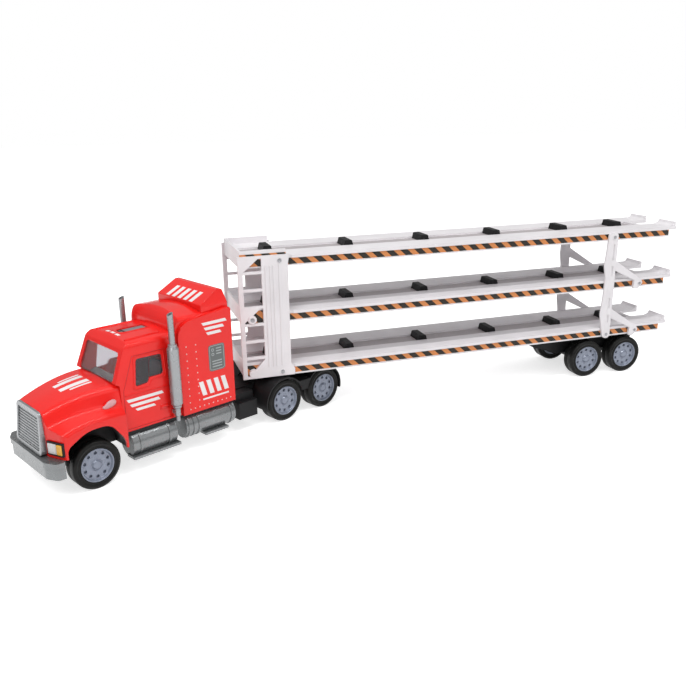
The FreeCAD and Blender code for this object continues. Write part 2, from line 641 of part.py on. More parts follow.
# ---- tractor: black pieces ----
def make_chassis():
    front = HOOD_FRONT_X - NOSE_BACK
    axles = (0.0, -DRIVE_SPACING, FRONT_AXLE_X)
    rails = [side_box(s, CHASSIS_REAR_X, front, RAIL_Y - RAIL_T, RAIL_Y, RAIL_Z, CHASSIS_TOP_Z)
             for s in (1, -1)]
    nose = box(front - 4, BUMPER_FRONT_X - BUMPER_T, -RAIL_Y, RAIL_Y, RAIL_Z,
               BUMPER_TOP_Z - LEDGE_T)
    floor = box(SLEEPER_REAR_X, HOOD_REAR_X - 1, -CAB_HALF, CAB_HALF, FLOOR_Z, BODY_FLOOR_Z)
    web = box(CHASSIS_REAR_X, front, -RAIL_Y, RAIL_Y, CHASSIS_TOP_Z - PLATE_T, CHASSIS_TOP_Z)
    hangers = [hanger_block(x, RAIL_Z + 4) for x in axles]
    chassis = fuse(rails + [nose, floor, web] + hangers)
    return chassis.cut(Part.makeCompound([axle_bore(x) for x in axles]))


def make_mudguard(side):
    """Double arc over both drive wheels of one side, carried by a web on the rail."""
    y0, y1 = sorted((side * RAIL_Y, side * WHEEL_FACE_Y))
    rings, hollows = [], []
    for x in (0.0, -DRIVE_SPACING):
        rings.append(rod(GUARD_R, V(x, y0, AXLE_Z), V(x, y1, AXLE_Z)))
        hollows.append(rod(GUARD_R - GUARD_T, V(x, y0 - 1, AXLE_Z), V(x, y1 + 1, AXLE_Z)))
    mid, low = -DRIVE_SPACING / 2, AXLE_Z + 2
    web = side_prism([(mid - 7, CHASSIS_TOP_Z - 1), (mid + 7, CHASSIS_TOP_Z - 1), (mid + 1, low),
                      (mid - 1, low)], y0, y1)
    guard = fuse(rings + [web]).cut(Part.makeCompound(hollows))
    below = box(-REACH, REACH, -REACH, REACH, AXLE_Z - REACH, AXLE_Z - 5)
    middle = box(mid - 6, mid + 6, -REACH, REACH, AXLE_Z - REACH, low + 3)
    return guard.cut(below).cut(middle)


def make_battery_box():
    front = SLEEPER_REAR_X - BATTERY_GAP
    rear, split = front - BATTERY_LEN, RAIL_Z + 4
    low = box(rear, front, RAIL_Y, SLEEPER_HALF - 4, BATTERY_LOW_Z, split)
    return low.fuse(box(rear, front, RAIL_Y, SLEEPER_HALF - 10, split, CHASSIS_TOP_Z - 1))


def make_fifth_wheel():
    top = COUPLING_Z - COUPLING_GAP
    x = -KINGPIN_BACK
    plate = rod(FIFTH_WHEEL_R, V(x, 0, top - FIFTH_WHEEL_T), V(x, 0, top))
    base = box(x - 14, x + 14, -RAIL_Y + 2, RAIL_Y - 2, CHASSIS_TOP_Z, top - FIFTH_WHEEL_T + 1)
    hole = rod(KINGPIN_R + KINGPIN_GAP, V(x, 0, 0), V(x, 0, REACH))
    return plate.fuse(base).cut(hole)


def make_interior():
    """Floor, dash, two seats and a steering wheel, seen through the glazing."""
    low = BODY_FLOOR_Z
    rear, front = CAB_REAR_X + 2.5, HOOD_REAR_X - 5
    half = CAB_HALF - WALL * 2
    floor = box(rear, front, -half, half, low, low + 5)
    dash = side_prism([(front - 8, low + 5), (front + 2, low + 5), (front + 2, BELT_Z - 5),
                       (front - 8, BELT_Z - 1, 3), (front - 12, BELT_Z - 9)], -half + 1, half - 1)
    seats = []
    seat = [(rear + 3, low + 5), (rear + 24, low + 5), (rear + 24, low + 19, 3),
            (rear + 10, low + 21, 2), (rear + 7, low + 47, 3), (rear + 1, low + 47, 3)]
    for s in (1, -1):
        seats.append(side_prism(seat, s * SEAT_Y - SEAT_W / 2, s * SEAT_Y + SEAT_W / 2))
    hub, tilt = V(front - 16, SEAT_Y, BELT_Z - 1), V(-6, 0, 8)
    column = rod(1.5, V(front - 10, SEAT_Y, BELT_Z - 9), hub)
    wheel = Part.makeTorus(STEERING_R, 1.1, hub, tilt)
    spoke = box(-STEERING_R, STEERING_R, -1, 1, -0.8, 0.8)
    spoke.Placement = FreeCAD.Placement(hub, FreeCAD.Rotation(Z_AXIS, tilt))
    return fuse([floor, dash, column, wheel, spoke] + seats)


# ---- trailer: decks ----
def make_deck(top):
    """Plate with a sunk channel, skirts with a foot flange, low front walls and two tail tongues."""
    under, foot = top - DECK_T, top - DECK_T - SKIRT_H
    front = DECK_FRONT_X
    half = [(TAIL_X, CHANNEL_HALF), (TAIL_X, DECK_HALF, TAIL_R), (NARROW_X, DECK_HALF),
            (NARROW_X, SKIRT_Y), (front, SKIRT_Y)]
    mirrored = [(c[0], -c[1]) + c[2:] for c in reversed(half)]
    notch = [(TAIL_X + TAIL_NOTCH, -CHANNEL_HALF, 2), (TAIL_X + TAIL_NOTCH, CHANNEL_HALF, 2)]
    plate = plan_prism(half + mirrored + notch, under, top)
    channel = box(TAIL_X + TAIL_NOTCH + 5, front - CHANNEL_END, -CHANNEL_HALF, CHANNEL_HALF,
                  top - CHANNEL_DEEP, top + 1)
    lip = side_prism([(TAIL_X, under + 0.5), (TAIL_X + TAIL_LIP_LEN, top - 0.3),
                      (TAIL_X + 3, top + 1.8, 4), (TAIL_X + 1.5, top + TAIL_LIP_H),
                      (TAIL_X, top + TAIL_LIP_H)], CHANNEL_HALF, DECK_HALF - TAIL_R)
    pieces = [plate.cut(channel)]
    for s in (1, -1):
        pieces.append(lip if s > 0 else mirror(lip))
        pieces.append(side_box(s, SKIRT_REAR_X, front, SKIRT_Y - SKIRT_T, SKIRT_Y, foot, under))
        pieces.append(side_box(s, SKIRT_REAR_X, NARROW_X, SKIRT_Y - FLANGE_W, DECK_HALF,
                               foot - FLANGE_H, foot))
        pieces.append(side_box(s, NARROW_X, front, SKIRT_Y - FLANGE_W, SKIRT_Y,
                               foot - FLANGE_H, foot))
        pieces.append(side_box(s, FRONT_WALL_X, front, SKIRT_Y - FRONT_WALL_T, SKIRT_Y, top,
                               top + FRONT_WALL_H))
    pieces.append(box(front - FRONT_WALL_T, front, -SKIRT_Y, SKIRT_Y, foot - FLANGE_H,
                      top + FRONT_WALL_H))
    for x in (TAIL_RIB_X,) + DECK_RIBS_X:
        pieces.append(box(x, x + SKIRT_T, -SKIRT_Y, SKIRT_Y, foot, under))
    return fuse(pieces)


def make_bands():
    """Thin striped bands: low along each skirt, taller beside the front wall."""
    bands = []
    for top in DECK_TOPS:
        foot, under = top - DECK_T - SKIRT_H, top - DECK_T
        low = box(SKIRT_REAR_X, FRONT_WALL_X, SKIRT_Y, FRAME_Y, foot, under)
        tall = box(FRONT_WALL_X, DECK_FRONT_X - 0.5, SKIRT_Y, FRAME_Y, foot, top + FRONT_BAND_H)
        band = low.fuse(tall).removeSplitter()
        bands += [band, mirror(band)]
    return Part.makeCompound(bands)


# ---- trailer: side frames and braces ----
def make_side_frame():
    """Left side frame: ribbed post, ladder bar, rungs, gussets and bosses in one moulding."""
    foot, top = FRAME_FOOT_Z, FRAME_TOP_Z
    rear, front = POST_X
    post = [(rear - POST_FLARE, foot, 1), (front + 3, foot, 1), (front + 2, foot + 8, 6),
            (front, foot + 20, 12), (front, top), (rear - 1.5, top), (rear, top - 8, 6),
            (rear, foot + 12, 8), (rear - POST_FLARE, foot + 6, 3)]
    pieces = [side_prism(post, FRAME_Y, SIDE_Y)]
    x0, x1 = front - 1, LADDER_FRONT_X - 1
    pieces.append(box(LADDER_FRONT_X - LADDER_BAR, LADDER_FRONT_X, FRAME_Y, SIDE_Y, foot, top))
    for z in RUNGS_Z + [top - RUNG_H, foot]:
        pieces.append(box(x0, x1, FRAME_Y, SIDE_Y, z, z + RUNG_H))
    for z in (top - 1, RUNGS_Z[3] + 1):
        pieces.append(side_prism([(x1, z), (x1 - GUSSET_LEN, z), (x1, z - GUSSET_H)],
                                 FRAME_Y, SIDE_Y))
    pieces.append(side_prism([(x0, foot), (x1 - 4, foot), (x0, RUNGS_Z[0] + 1)], FRAME_Y, SIDE_Y))
    for share in RIBS_ON_POST:
        x = rear + (front - rear) * share
        pieces.append(box(x - RIB_W / 2, x + RIB_W / 2, SIDE_Y, SIDE_Y + RIB_T, foot + 10, top - 9))
    for x, z in ((x1 - 10, RUNGS_Z[3] - 10), (x1 - 9, foot + 5)):
        pieces.append(rod(BOSS_R, V(x, FRAME_Y, z), V(x, SIDE_Y + RIB_T, z)))
    return fuse(pieces)


# Recesses down the arm: lower and upper end above the lower pin, as shares of the pins' distance.
ARM_SLOTS = ((0.12, 0.20), (0.27, 0.38), (0.61, 0.71), (0.77, 0.93))


def make_rear_brace():
    """Left rear brace: bevelled arm pinned to the lowest and highest deck, with two feet."""
    y0, y1 = DECK_HALF, DECK_HALF + ARM_T
    low_pin, high_pin = DECK_TOPS[0] - 6.0, DECK_TOPS[-1] - 6.0
    rear, front = ARM_X - ARM_REAR, ARM_X + ARM_AHEAD
    low, high = low_pin - ARM_END, high_pin + ARM_END
    nodes_z = [z + 20.0 for z in DECK_TOPS[:-1]]
    edge = [(rear, high, 4), (rear, low, 4), (front - 3, low, 4)]
    for z in nodes_z:
        edge += [(front - 1, z - 18, 8), (front + ARM_BULGE, z - 4, 8), (front, z + 12, 8)]
    arm = side_prism(edge + [(front - 1, high, 4)], y0, y1)
    bevel = plan_prism([(front - ARM_BEVEL, y1), (front + ARM_BEVEL, y1 - ARM_T),
                        (front + ARM_BEVEL, y1)], 0, REACH)
    length = high_pin - low_pin
    slots = [box(ARM_X - SLOT_W / 2, ARM_X + SLOT_W / 2, y1 - SLOT_DEEP, y1 + 1,
                 low_pin + length * a, low_pin + length * b) for a, b in ARM_SLOTS]
    feet = []
    for top in DECK_TOPS[:-1]:
        x, z = ARM_X - FOOT_REACH, top - 5.0
        feet.append(side_prism([(ARM_X, z + FOOT_RISE), (ARM_X, z + FOOT_RISE - 11),
                                (x + 7, z + 3), (x + 7.5, z - 6, 1.5), (x + 2, z - 6.5, 1.5),
                                (x - 4, z - 0.5, 2), (x - 2, z + 3.5, 2)], y0, y1 - 0.6))
    return fuse([arm.cut(bevel).cut(Part.makeCompound(slots))] + feet)


def make_stops():
    """Black blocks across the channels that stop parked cars."""
    blocks = []
    half, side = STOP_LEN / 2, CHANNEL_HALF - STOP_SIDE_GAP
    for top in DECK_TOPS:
        for x in STOPS_X:
            blocks.append(side_prism([(x - half, top - CHANNEL_DEEP), (x + half, top - CHANNEL_DEEP),
                                      (x + half - 1.5, top + STOP_H, 1),
                                      (x - half + 1.5, top + STOP_H, 1)], -side, side))
    return Part.makeCompound(blocks)


# ---- trailer: black pieces ----
def make_coupling():
    rear, front = KINGPIN_X - COUPLING_REAR, DECK_FRONT_X - FRONT_WALL_T - 2
    corners = [(rear, -COUPLING_HALF, 6), (front, -COUPLING_HALF, 6), (front, COUPLING_HALF, 6),
               (rear, COUPLING_HALF, 6)]
    plate = plan_prism(corners, COUPLING_Z, COUPLING_Z + COUPLING_T)
    pin = rod(KINGPIN_R, V(KINGPIN_X, 0, CHASSIS_TOP_Z + 0.5), V(KINGPIN_X, 0, COUPLING_Z + 1))
    return plate.fuse(pin)


def make_bogie():
    """Hollow box with a raked front under the lower deck, and its two axle hangers."""
    z_top = DECK_TOP_Z - FLANGE_BOTTOM
    low = BOGIE_LOW_Z
    axles = (0.0, -TRAILER_SPACING)
    case = side_prism([(BOGIE_REAR_X, z_top), (BOGIE_FRONT_X, z_top),
                       (BOGIE_FRONT_X - 18, z_top - 10, 6), (BOGIE_FRONT_X - 36, low + 4, 4),
                       (BOGIE_FRONT_X - 44, low), (BOGIE_REAR_X + 12, low, 4)],
                      -BOGIE_HALF, BOGIE_HALF)
    seat = box(BOGIE_REAR_X + 5, BOGIE_FRONT_X - 2, -SEAT_HALF, SEAT_HALF, z_top - 2,
               DECK_TOP_Z - DECK_T)
    rib_slots = Part.makeCompound([box(x, x + SKIRT_T, -REACH, REACH, z_top + FLANGE_H, DECK_TOP_Z)
                                   for x in DECK_RIBS_X])
    hangers = [hanger_block(x, low + 2) for x in axles]
    bogie = fuse([case, seat.cut(rib_slots)] + hangers)
    hollow = box(BOGIE_REAR_X + 16, BOGIE_FRONT_X - 48, -BOGIE_HALF + BOGIE_WALL,
                 BOGIE_HALF - BOGIE_WALL, low + BOGIE_WALL - 1, z_top - BOGIE_WALL)
    return bogie.cut(hollow).cut(Part.makeCompound([axle_bore(x) for x in axles]))


# ---- assembly ----
def park(shape):
    """Carry a tractor piece from its own frame to its parked place on the kingpin."""
    moved = shape.copy()
    moved.translate(V(KINGPIN_X + KINGPIN_BACK, 0, 0))
    moved.rotate(V(KINGPIN_X, 0, 0), Z_AXIS, PARK_TURN)
    return moved


def stay(shape):
    return shape


def build_tractor():
    nodes["hood"] = make_hood()
    make_cab()
    make_sleeper()
    nodes["grille"] = make_grille()
    nodes["bumper"] = make_bumper()
    nodes["headlamps"] = both(make_headlamp())
    nodes["side_lamps"] = both(side_lamp())
    for name, side in (("left", 1), ("right", -1)):
        nodes["exhaust_" + name] = make_exhaust(side)
        nodes["tanks_" + name] = make_tanks(side)
    nodes["tractor_chassis"] = make_chassis()
    nodes["arch_liners"] = both(make_arch_liner())
    nodes["battery_boxes"] = both(make_battery_box())
    nodes["drive_mudguards"] = Part.makeCompound([make_mudguard(1), make_mudguard(-1)])
    nodes["fifth_wheel"] = make_fifth_wheel()
    nodes["cab_interior"] = make_interior()
    for name in list(nodes):
        nodes[name] = park(nodes[name])
    wheel_set("front", FRONT_AXLE_X, park)
    wheel_set("drive_front", 0.0, park)
    wheel_set("drive_rear", -DRIVE_SPACING, park)


def build_trailer():
    for name, top in zip(DECK_NAMES, DECK_TOPS):
        nodes[name + "_deck"] = make_deck(top)
    nodes["stripe_bands"] = make_bands()
    nodes["side_frame_left"] = make_side_frame()
    nodes["side_frame_right"] = mirror(nodes["side_frame_left"])
    nodes["rear_brace_left"] = make_rear_brace()
    nodes["rear_brace_right"] = mirror(nodes["rear_brace_left"])
    nodes["stop_blocks"] = make_stops()
    nodes["coupling_plate"] = make_coupling()
    nodes["trailer_bogie"] = make_bogie()
    wheel_set("trailer_front", 0.0, stay)
    wheel_set("trailer_rear", -TRAILER_SPACING, stay)


build_tractor()
build_trailer()
whole = Part.makeCompound(list(nodes.values())).BoundBox
shift = V(-(whole.XMin + whole.XMax) / 2, -(whole.YMin + whole.YMax) / 2, -whole.ZMin)
os.makedirs("parts", exist_ok=True)
for name, shape in nodes.items():
    shape.translate(shift)
    shape.exportStep("parts/%s.step" % name)
    print(name, "valid" if shape.isValid() else "INVALID", len(shape.Solids), round(shape.Volume, 1))
print("shift", shift, "size", whole.XLength, whole.YLength, whole.ZLength)
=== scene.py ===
"""Looks for the toy car transporter: materials, wheels, screws, rivets, prints, trim, hatch,
lamps, grille panel, channel floors, and the studio round them.

Sizes are millimetres in the frame of one vehicle: x forward from an axle, y left, z up from the
floor. The matrices TRACTOR and TRAILER carry them into the row frame, which is in metres.
"""
import json
import math

import bmesh
import bpy
from mathutils import Matrix, Vector
from mathutils.bvhtree import BVHTree


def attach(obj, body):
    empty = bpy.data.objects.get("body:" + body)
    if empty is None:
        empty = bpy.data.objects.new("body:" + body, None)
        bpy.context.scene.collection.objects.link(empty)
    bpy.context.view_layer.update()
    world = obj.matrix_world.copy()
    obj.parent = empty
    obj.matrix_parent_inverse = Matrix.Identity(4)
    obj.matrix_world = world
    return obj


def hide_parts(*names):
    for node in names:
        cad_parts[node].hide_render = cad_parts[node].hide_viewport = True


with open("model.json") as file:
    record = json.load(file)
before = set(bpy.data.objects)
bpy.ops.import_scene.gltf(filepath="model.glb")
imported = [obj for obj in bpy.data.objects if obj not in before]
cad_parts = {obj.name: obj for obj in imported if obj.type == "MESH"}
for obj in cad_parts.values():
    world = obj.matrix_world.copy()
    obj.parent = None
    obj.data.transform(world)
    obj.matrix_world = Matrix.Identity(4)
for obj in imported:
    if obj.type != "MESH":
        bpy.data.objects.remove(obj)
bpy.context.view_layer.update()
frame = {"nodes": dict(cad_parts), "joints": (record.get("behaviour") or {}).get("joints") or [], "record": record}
nodes = frame["nodes"]
joints = {joint["name"]: joint for joint in frame["joints"]}

MM = 0.001
UP = Vector((0, 0, 1))
LEFT = Vector((0, 1, 0))
SIDES = ((1, "left"), (-1, "right"))     # sign of y, and the word in a piece's name
FRONT, TOP = (0, 1), (2, 1)              # looks along an axis, from its positive end
FAR = 400.0                              # rays start this far off the surface they look for
BESIDE = 80.0                            # y beyond the side of either vehicle


# ---- frames ----
def vehicle_frame(spin):
    """Matrix from a vehicle's millimetres, on the floor under the named axle, to the row frame."""
    left = Vector(joints[spin]["axis"]).normalized()
    place = Vector(joints[spin]["pos_m"])
    turn = Matrix((left.cross(UP), left, UP)).transposed().to_4x4()
    return Matrix.Translation((place.x, place.y, 0)) @ turn @ Matrix.Scale(MM, 4)


TRACTOR = vehicle_frame("drive_front_spin")
TRAILER = vehicle_frame("trailer_front_spin")


def extent(node, vehicle):
    """Lowest and highest corner of a CAD node in its vehicle's own millimetres."""
    inverse = vehicle.inverted()
    points = [inverse @ vertex.co for vertex in nodes[node].data.vertices]
    return (Vector([min(p[i] for p in points) for i in range(3)]),
            Vector([max(p[i] for p in points) for i in range(3)]))


def surface(node, vehicle):
    """A CAD node's faces as a tree for ray casts in its vehicle's millimetres."""
    inverse = vehicle.inverted()
    mesh = nodes[node].data
    return BVHTree.FromPolygons([inverse @ v.co for v in mesh.vertices],
                                [list(p.vertices) for p in mesh.polygons])


# ---- materials ----
class Tree:
    """Short calls for building a node tree."""

    def __init__(self, tree):
        self.tree = tree

    def add(self, kind, inputs=(), **settings):
        """New node, with a link or a constant for each of the sockets named in inputs."""
        node = self.tree.nodes.new(kind)
        for key, value in settings.items():
            setattr(node, key, value)
        for socket, value in dict(inputs).items():
            if isinstance(value, bpy.types.NodeSocket):
                self.tree.links.new(value, node.inputs[socket])
            else:
                node.inputs[socket].default_value = value
        return node

    def math(self, operation, a, b=0.0):
        return self.add("ShaderNodeMath", {0: a, 1: b}, operation=operation).outputs[0]


class Nodes(Tree):
    """One material's node tree."""

    def __init__(self, name):
        self.material = bpy.data.materials.new(name)
        self.material.use_nodes = True
        super().__init__(self.material.node_tree)
        self.shader = self.tree.nodes["Principled BSDF"]
        self.place = self.add("ShaderNodeTexCoord").outputs["Object"]

    def noise(self, size_mm, detail=3.0):
        """Noise about 0.5 with features of the given size."""
        inputs = {"Vector": self.place, "Scale": 1 / MM / size_mm, "Detail": detail}
        return self.add("ShaderNodeTexNoise", inputs).outputs["Fac"]

    def between(self, factor, low, high):
        """Noise carried over to run from low to high."""
        inputs = {"Value": factor, "From Min": 0.3, "From Max": 0.7, "To Min": low, "To Max": high}
        return self.add("ShaderNodeMapRange", inputs).outputs["Result"]

    def mix(self, factor, a, b):
        """Colour mix, whose sockets for colours are 6 and 7 in and 2 out."""
        return self.add("ShaderNodeMix", {0: factor, 6: a, 7: b}, data_type="RGBA").outputs[2]

    def bump(self, strength, depth_mm, height, normal=None):
        inputs = {"Strength": strength, "Distance": depth_mm * MM, "Height": height}
        if normal:
            inputs["Normal"] = normal
        return self.add("ShaderNodeBump", inputs).outputs["Normal"]

    def set(self, **values):
        """Constants of the shader's own sockets, with _ for a space in a socket's name."""
        for socket, value in values.items():
            self.shader.inputs[socket.replace("_", " ")].default_value = value

    def link(self, socket, value):
        self.tree.links.new(value, self.shader.inputs[socket])


def rgba(colour, factor=1.0):
    return tuple(min(1.0, c * factor) for c in colour) + (1.0,)


MOTTLE_MM, RUB_MM, SINK_MM = 28.0, 5.0, 14.0       # size of marks in colour, gloss and flatness
SINK_DEPTH, GRAIN_DEPTH = 0.6, 0.05
COAT_ROUGHNESS = 0.08


def moulded(name, colour, roughness, grain_mm=0.5, bump=0.12, round_mm=0.35, fade=0.07,
            spread=0.08, metallic=0.0, coat=0.0, specular=0.4):
    """Moulded plastic: fine grain, uneven gloss, slightly mottled colour and softened edges."""
    n = Nodes(name)
    n.set(Metallic=metallic, Specular_IOR_Level=specular, Coat_Weight=coat,
          Coat_Roughness=COAT_ROUGHNESS)
    mottle = n.between(n.noise(MOTTLE_MM, 4.0), 0.0, 1.0)
    n.link("Base Color", n.mix(mottle, rgba(colour, 1 - fade), rgba(colour, 1 + fade / 2)))
    rub = n.noise(RUB_MM, 6.0)
    n.link("Roughness", n.between(rub, roughness - spread / 2, roughness + spread))
    soft = n.add("ShaderNodeBevel", {"Radius": round_mm * MM}, samples=4).outputs["Normal"]
    sunk = n.bump(bump, SINK_DEPTH, n.noise(SINK_MM, 2.0), soft)
    n.link("Normal", n.bump(bump, GRAIN_DEPTH, n.noise(grain_mm, 2.0), sunk))
    return n.material


STRIPE_PERIOD = 14.3                     # along the vehicle, in millimetres
STRIPE_SLANT = 1.05                      # along over up
STRIPE_PHASE = 0.61                      # share of a period by which the pattern is moved on
STRIPE_DARK = 0.54                       # share of a period that is black


def striped(name, middle_y):
    """Slanted warning stripes, leaning the same way on both sides, with a slightly worn print."""
    n = Nodes(name)
    n.set(Specular_IOR_Level=0.2)
    axes = n.add("ShaderNodeSeparateXYZ", {"Vector": n.place}).outputs
    side = n.math("SIGN", n.math("SUBTRACT", axes["Y"], middle_y))
    along = n.math("MULTIPLY", axes["X"], side)
    slant = n.math("MULTIPLY", n.math("MULTIPLY", axes["Z"], side), STRIPE_SLANT)
    count = n.math("MULTIPLY", n.math("SUBTRACT", along, slant), 1 / (STRIPE_PERIOD * MM))
    share = n.math("FRACT", n.math("ADD", count, STRIPE_PHASE))
    dark = n.math("GREATER_THAN", share, 1 - STRIPE_DARK)
    worn = n.between(n.noise(2.2, 5.0), 0.0, 0.12)
    ink = n.mix(worn, rgba((0.61, 0.225, 0.075)), rgba((0.71, 0.38, 0.20)))
    black = n.mix(worn, rgba((0.022, 0.019, 0.015)), rgba((0.12, 0.10, 0.09)))
    n.link("Base Color", n.mix(dark, ink, black))
    n.link("Roughness", n.between(n.noise(6.0, 4.0), 0.28, 0.42))
    n.link("Normal", n.bump(0.1, 0.05, n.noise(0.8)))
    return n.material


def rubber(name):
    """Black tyre, with a little dust and a fine grain."""
    n = Nodes(name)
    dust = n.between(n.noise(6.0, 6.0), 0.0, 1.0)
    n.set(Specular_IOR_Level=0.14)
    n.link("Base Color", n.mix(dust, rgba((0.007, 0.007, 0.007)), rgba((0.016, 0.016, 0.015))))
    n.link("Roughness", n.between(n.noise(3.0, 5.0), 0.34, 0.50))
    n.link("Normal", n.bump(0.35, 0.08, n.noise(0.7, 4.0)))
    return n.material


def clear(name, tint, clearness):
    """Clear moulding with a slight haze and faint flow marks."""
    n = Nodes(name)
    n.set(Base_Color=rgba(tint), Transmission_Weight=clearness, IOR=1.3)
    n.link("Roughness", n.between(n.noise(9.0), 0.04, 0.07))
    n.link("Normal", n.bump(0.06, 0.2, n.noise(12.0, 2.0)))
    return n.material


def brushed(name, colour, roughness=0.28):
    """Drawn steel."""
    n = Nodes(name)
    n.set(Metallic=0.9)
    n.link("Base Color", n.mix(n.noise(4.0, 5.0), rgba(colour, 0.85), rgba(colour)))
    n.link("Roughness", n.between(n.noise(1.2, 5.0), roughness - 0.08, roughness + 0.12))
    n.link("Normal", n.bump(0.2, 0.03, n.noise(0.4, 3.0)))
    return n.material


trailer_middle = joints["trailer_front_spin"]["pos_m"][1]
metal_paint = {"roughness": 0.27, "bump": 0.03, "metallic": 0.6, "spread": 0.06}
RED = moulded("red_body", (0.81, 0.011, 0.008), 0.20, bump=0.05, coat=0.15, round_mm=0.8,
              fade=0.05, spread=0.04, specular=0.28)
# darker red for the door seam bead: painted shade of the door's groove
SEAM_PAINTED_SHADE = moulded("red_seam_painted_shade", (0.46, 0.009, 0.008), 0.50)
SILVER = moulded("silver_plastic", (0.215, 0.225, 0.23), **metal_paint)
# lighter copy of the silver for the grille and exhausts: painted light
LIT_SILVER = moulded("silver_painted_light", (0.30, 0.31, 0.32), **metal_paint)
# pale grey behind the grille's slats: painted light in the gaps
GRILLE_PANEL_LIT = moulded("grille_panel_painted_light", (0.50, 0.51, 0.52), 0.50)
BLACK = moulded("black_plastic", (0.010, 0.010, 0.011), 0.46, bump=0.2, specular=0.2)
WHITE = moulded("white_plastic", (0.76, 0.735, 0.755), 0.36, bump=0.10)
SHADE = moulded("channel_floor", (0.40, 0.365, 0.375), 0.42)
GREY = moulded("grey_plastic", (0.20, 0.205, 0.215), 0.50)
INTERIOR = moulded("interior", (0.20, 0.19, 0.20), 0.60)
RIM = moulded("rim", (0.22, 0.245, 0.31), 0.28, bump=0.05, metallic=0.25, coat=0.15)
MARKER = moulded("marker_lens", (0.66, 0.34, 0.36), 0.30, grain_mm=0.9, bump=0.5)
AMBER = moulded("amber_lens", (0.80, 0.42, 0.03), 0.22, grain_mm=1.0, bump=0.5, coat=0.5)
LENS = moulded("clear_lens", (0.62, 0.60, 0.60), 0.16, grain_mm=1.1, bump=0.6, coat=0.8)
STICKER = moulded("white_print", (0.83, 0.80, 0.80), 0.40, bump=0.05)
# pale pink rivets: painted highlight on the red rivet heads
RIVET = moulded("rivet_painted_highlight", (0.82, 0.50, 0.48), 0.40, bump=0.05)
STICKER_GREY = moulded("grey_print", (0.12, 0.135, 0.135), 0.38, bump=0.05)
STICKER_LINE = moulded("line_print", (0.42, 0.45, 0.45), 0.38, bump=0.05)
STRIPES = striped("warning_stripes", trailer_middle)
RUBBER = rubber("tyre")
SCREEN = clear("windscreen", (1.0, 0.985, 1.0), 0.98)
WINDOW = clear("side_window", (0.42, 0.40, 0.43), 0.95)
STEEL = brushed("axle_steel", (0.55, 0.55, 0.56))
SCREW = brushed("screw_steel", (0.42, 0.42, 0.44), 0.36)

BY_SLOT = {"red_body": RED, "silver_plastic": SILVER, "black_plastic": BLACK,
           "white_plastic": WHITE, "stripe": STRIPES, "tyre": RUBBER, "rim": RIM,
           "axle_steel": STEEL, "glazing": SCREEN, "lamp": BLACK, "interior": INTERIOR,
           "grey_plastic": GREY}
# grille and exhausts take the lighter silver, which is painted light
BY_NODE = {"side_lamps": RED, "side_windows": WINDOW, "grille": LIT_SILVER, "exhaust_left": LIT_SILVER,
           "exhaust_right": LIT_SILVER}
for part in frame["record"]["subparts"]:
    mesh = nodes[part["node"]].data
    mesh.materials.clear()
    mesh.materials.append(BY_NODE.get(part["node"], BY_SLOT[part["material_slot"]]))


# ---- mesh helpers ----
def finished_mesh(name, bm, matrix, material, sharp=35.0):
    """Mesh of a bmesh carried over by a matrix, smooth up to the sharp angle in degrees."""
    bmesh.ops.recalc_face_normals(bm, faces=bm.faces)
    bm.transform(matrix)
    mesh = bpy.data.meshes.new(name)
    bm.to_mesh(mesh)
    bm.free()
    mesh.polygons.foreach_set("use_smooth", [True] * len(mesh.polygons))
    mesh.set_sharp_from_angle(angle=math.radians(sharp))
    mesh.materials.append(material)
    return mesh


def add_piece(name, mesh, body, place=None):
    """Object of a mesh that rides on a body, with its material slot."""
    thing = bpy.data.objects.new(name, mesh)
    bpy.context.scene.collection.objects.link(thing)
    if place:
        thing.matrix_world = place
    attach(thing, body)
    return thing


def on_tractor(name, bm, material):
    """Turns a bmesh in the tractor's millimetres into a piece of the tractor."""
    add_piece(name, finished_mesh(name, bm, TRACTOR, material), "tractor")


def on_trailer(name, bm, material):
    """Turns a bmesh in the trailer's millimetres into a piece of the trailer."""
    add_piece(name, finished_mesh(name, bm, TRAILER, material), "trailer")


def round_points(count):
    """(cosine, sine) of as many even turns."""
    return [(math.cos(2 * math.pi * k / count), math.sin(2 * math.pi * k / count))
            for k in range(count)]


def band(bm, ring, nxt):
    """Quads between two closed loops of as many vertices each."""
    for k in range(len(ring)):
        after = (k + 1) % len(ring)
        bm.faces.new((ring[k], ring[after], nxt[after], nxt[k]))


def arc(x, y, radius, start, end, steps):
    """Points on an arc, angles in degrees."""
    turns = [math.radians(start + (end - start) * i / steps) for i in range(steps + 1)]
    return [(x + radius * math.cos(t), y + radius * math.sin(t)) for t in turns]


def round_corners(corners, radius, steps=5):
    """Rounds every corner of a polygon."""
    points = []
    for i, here in enumerate(corners):
        here = Vector(here)
        to_before = (Vector(corners[i - 1]) - here).normalized()
        to_after = (Vector(corners[(i + 1) % len(corners)]) - here).normalized()
        half = to_before.angle(to_after) / 2
        reach = radius / math.tan(half)
        start, end = here + to_before * reach, here + to_after * reach
        for k in range(steps + 1):
            share = k / steps
            points.append(start * (1 - share) ** 2 + here * 2 * share * (1 - share)
                          + end * share ** 2)
    return [tuple(p) for p in points]


def spin(bm, profile, centre, axis, steps, closed=False):
    """Surface of revolution of (radius, along) points about an axis through centre."""
    axis = axis.normalized()
    across = axis.orthogonal().normalized()
    other = axis.cross(across)
    rings = []
    for radius, along in profile:
        foot = centre + axis * along
        turns = round_points(steps) if radius else [(0.0, 0.0)]
        rings.append([bm.verts.new(foot + (across * c + other * t) * radius) for c, t in turns])
    pairs = list(zip(rings, rings[1:])) + ([(rings[-1], rings[0])] if closed else [])
    for a, b in pairs:
        for k in range(steps):
            ring = [a[k % len(a)], a[(k + 1) % len(a)], b[(k + 1) % len(b)], b[k % len(b)]]
            corners = list(dict.fromkeys(ring))
            if len(corners) > 2:
                bm.faces.new(corners)


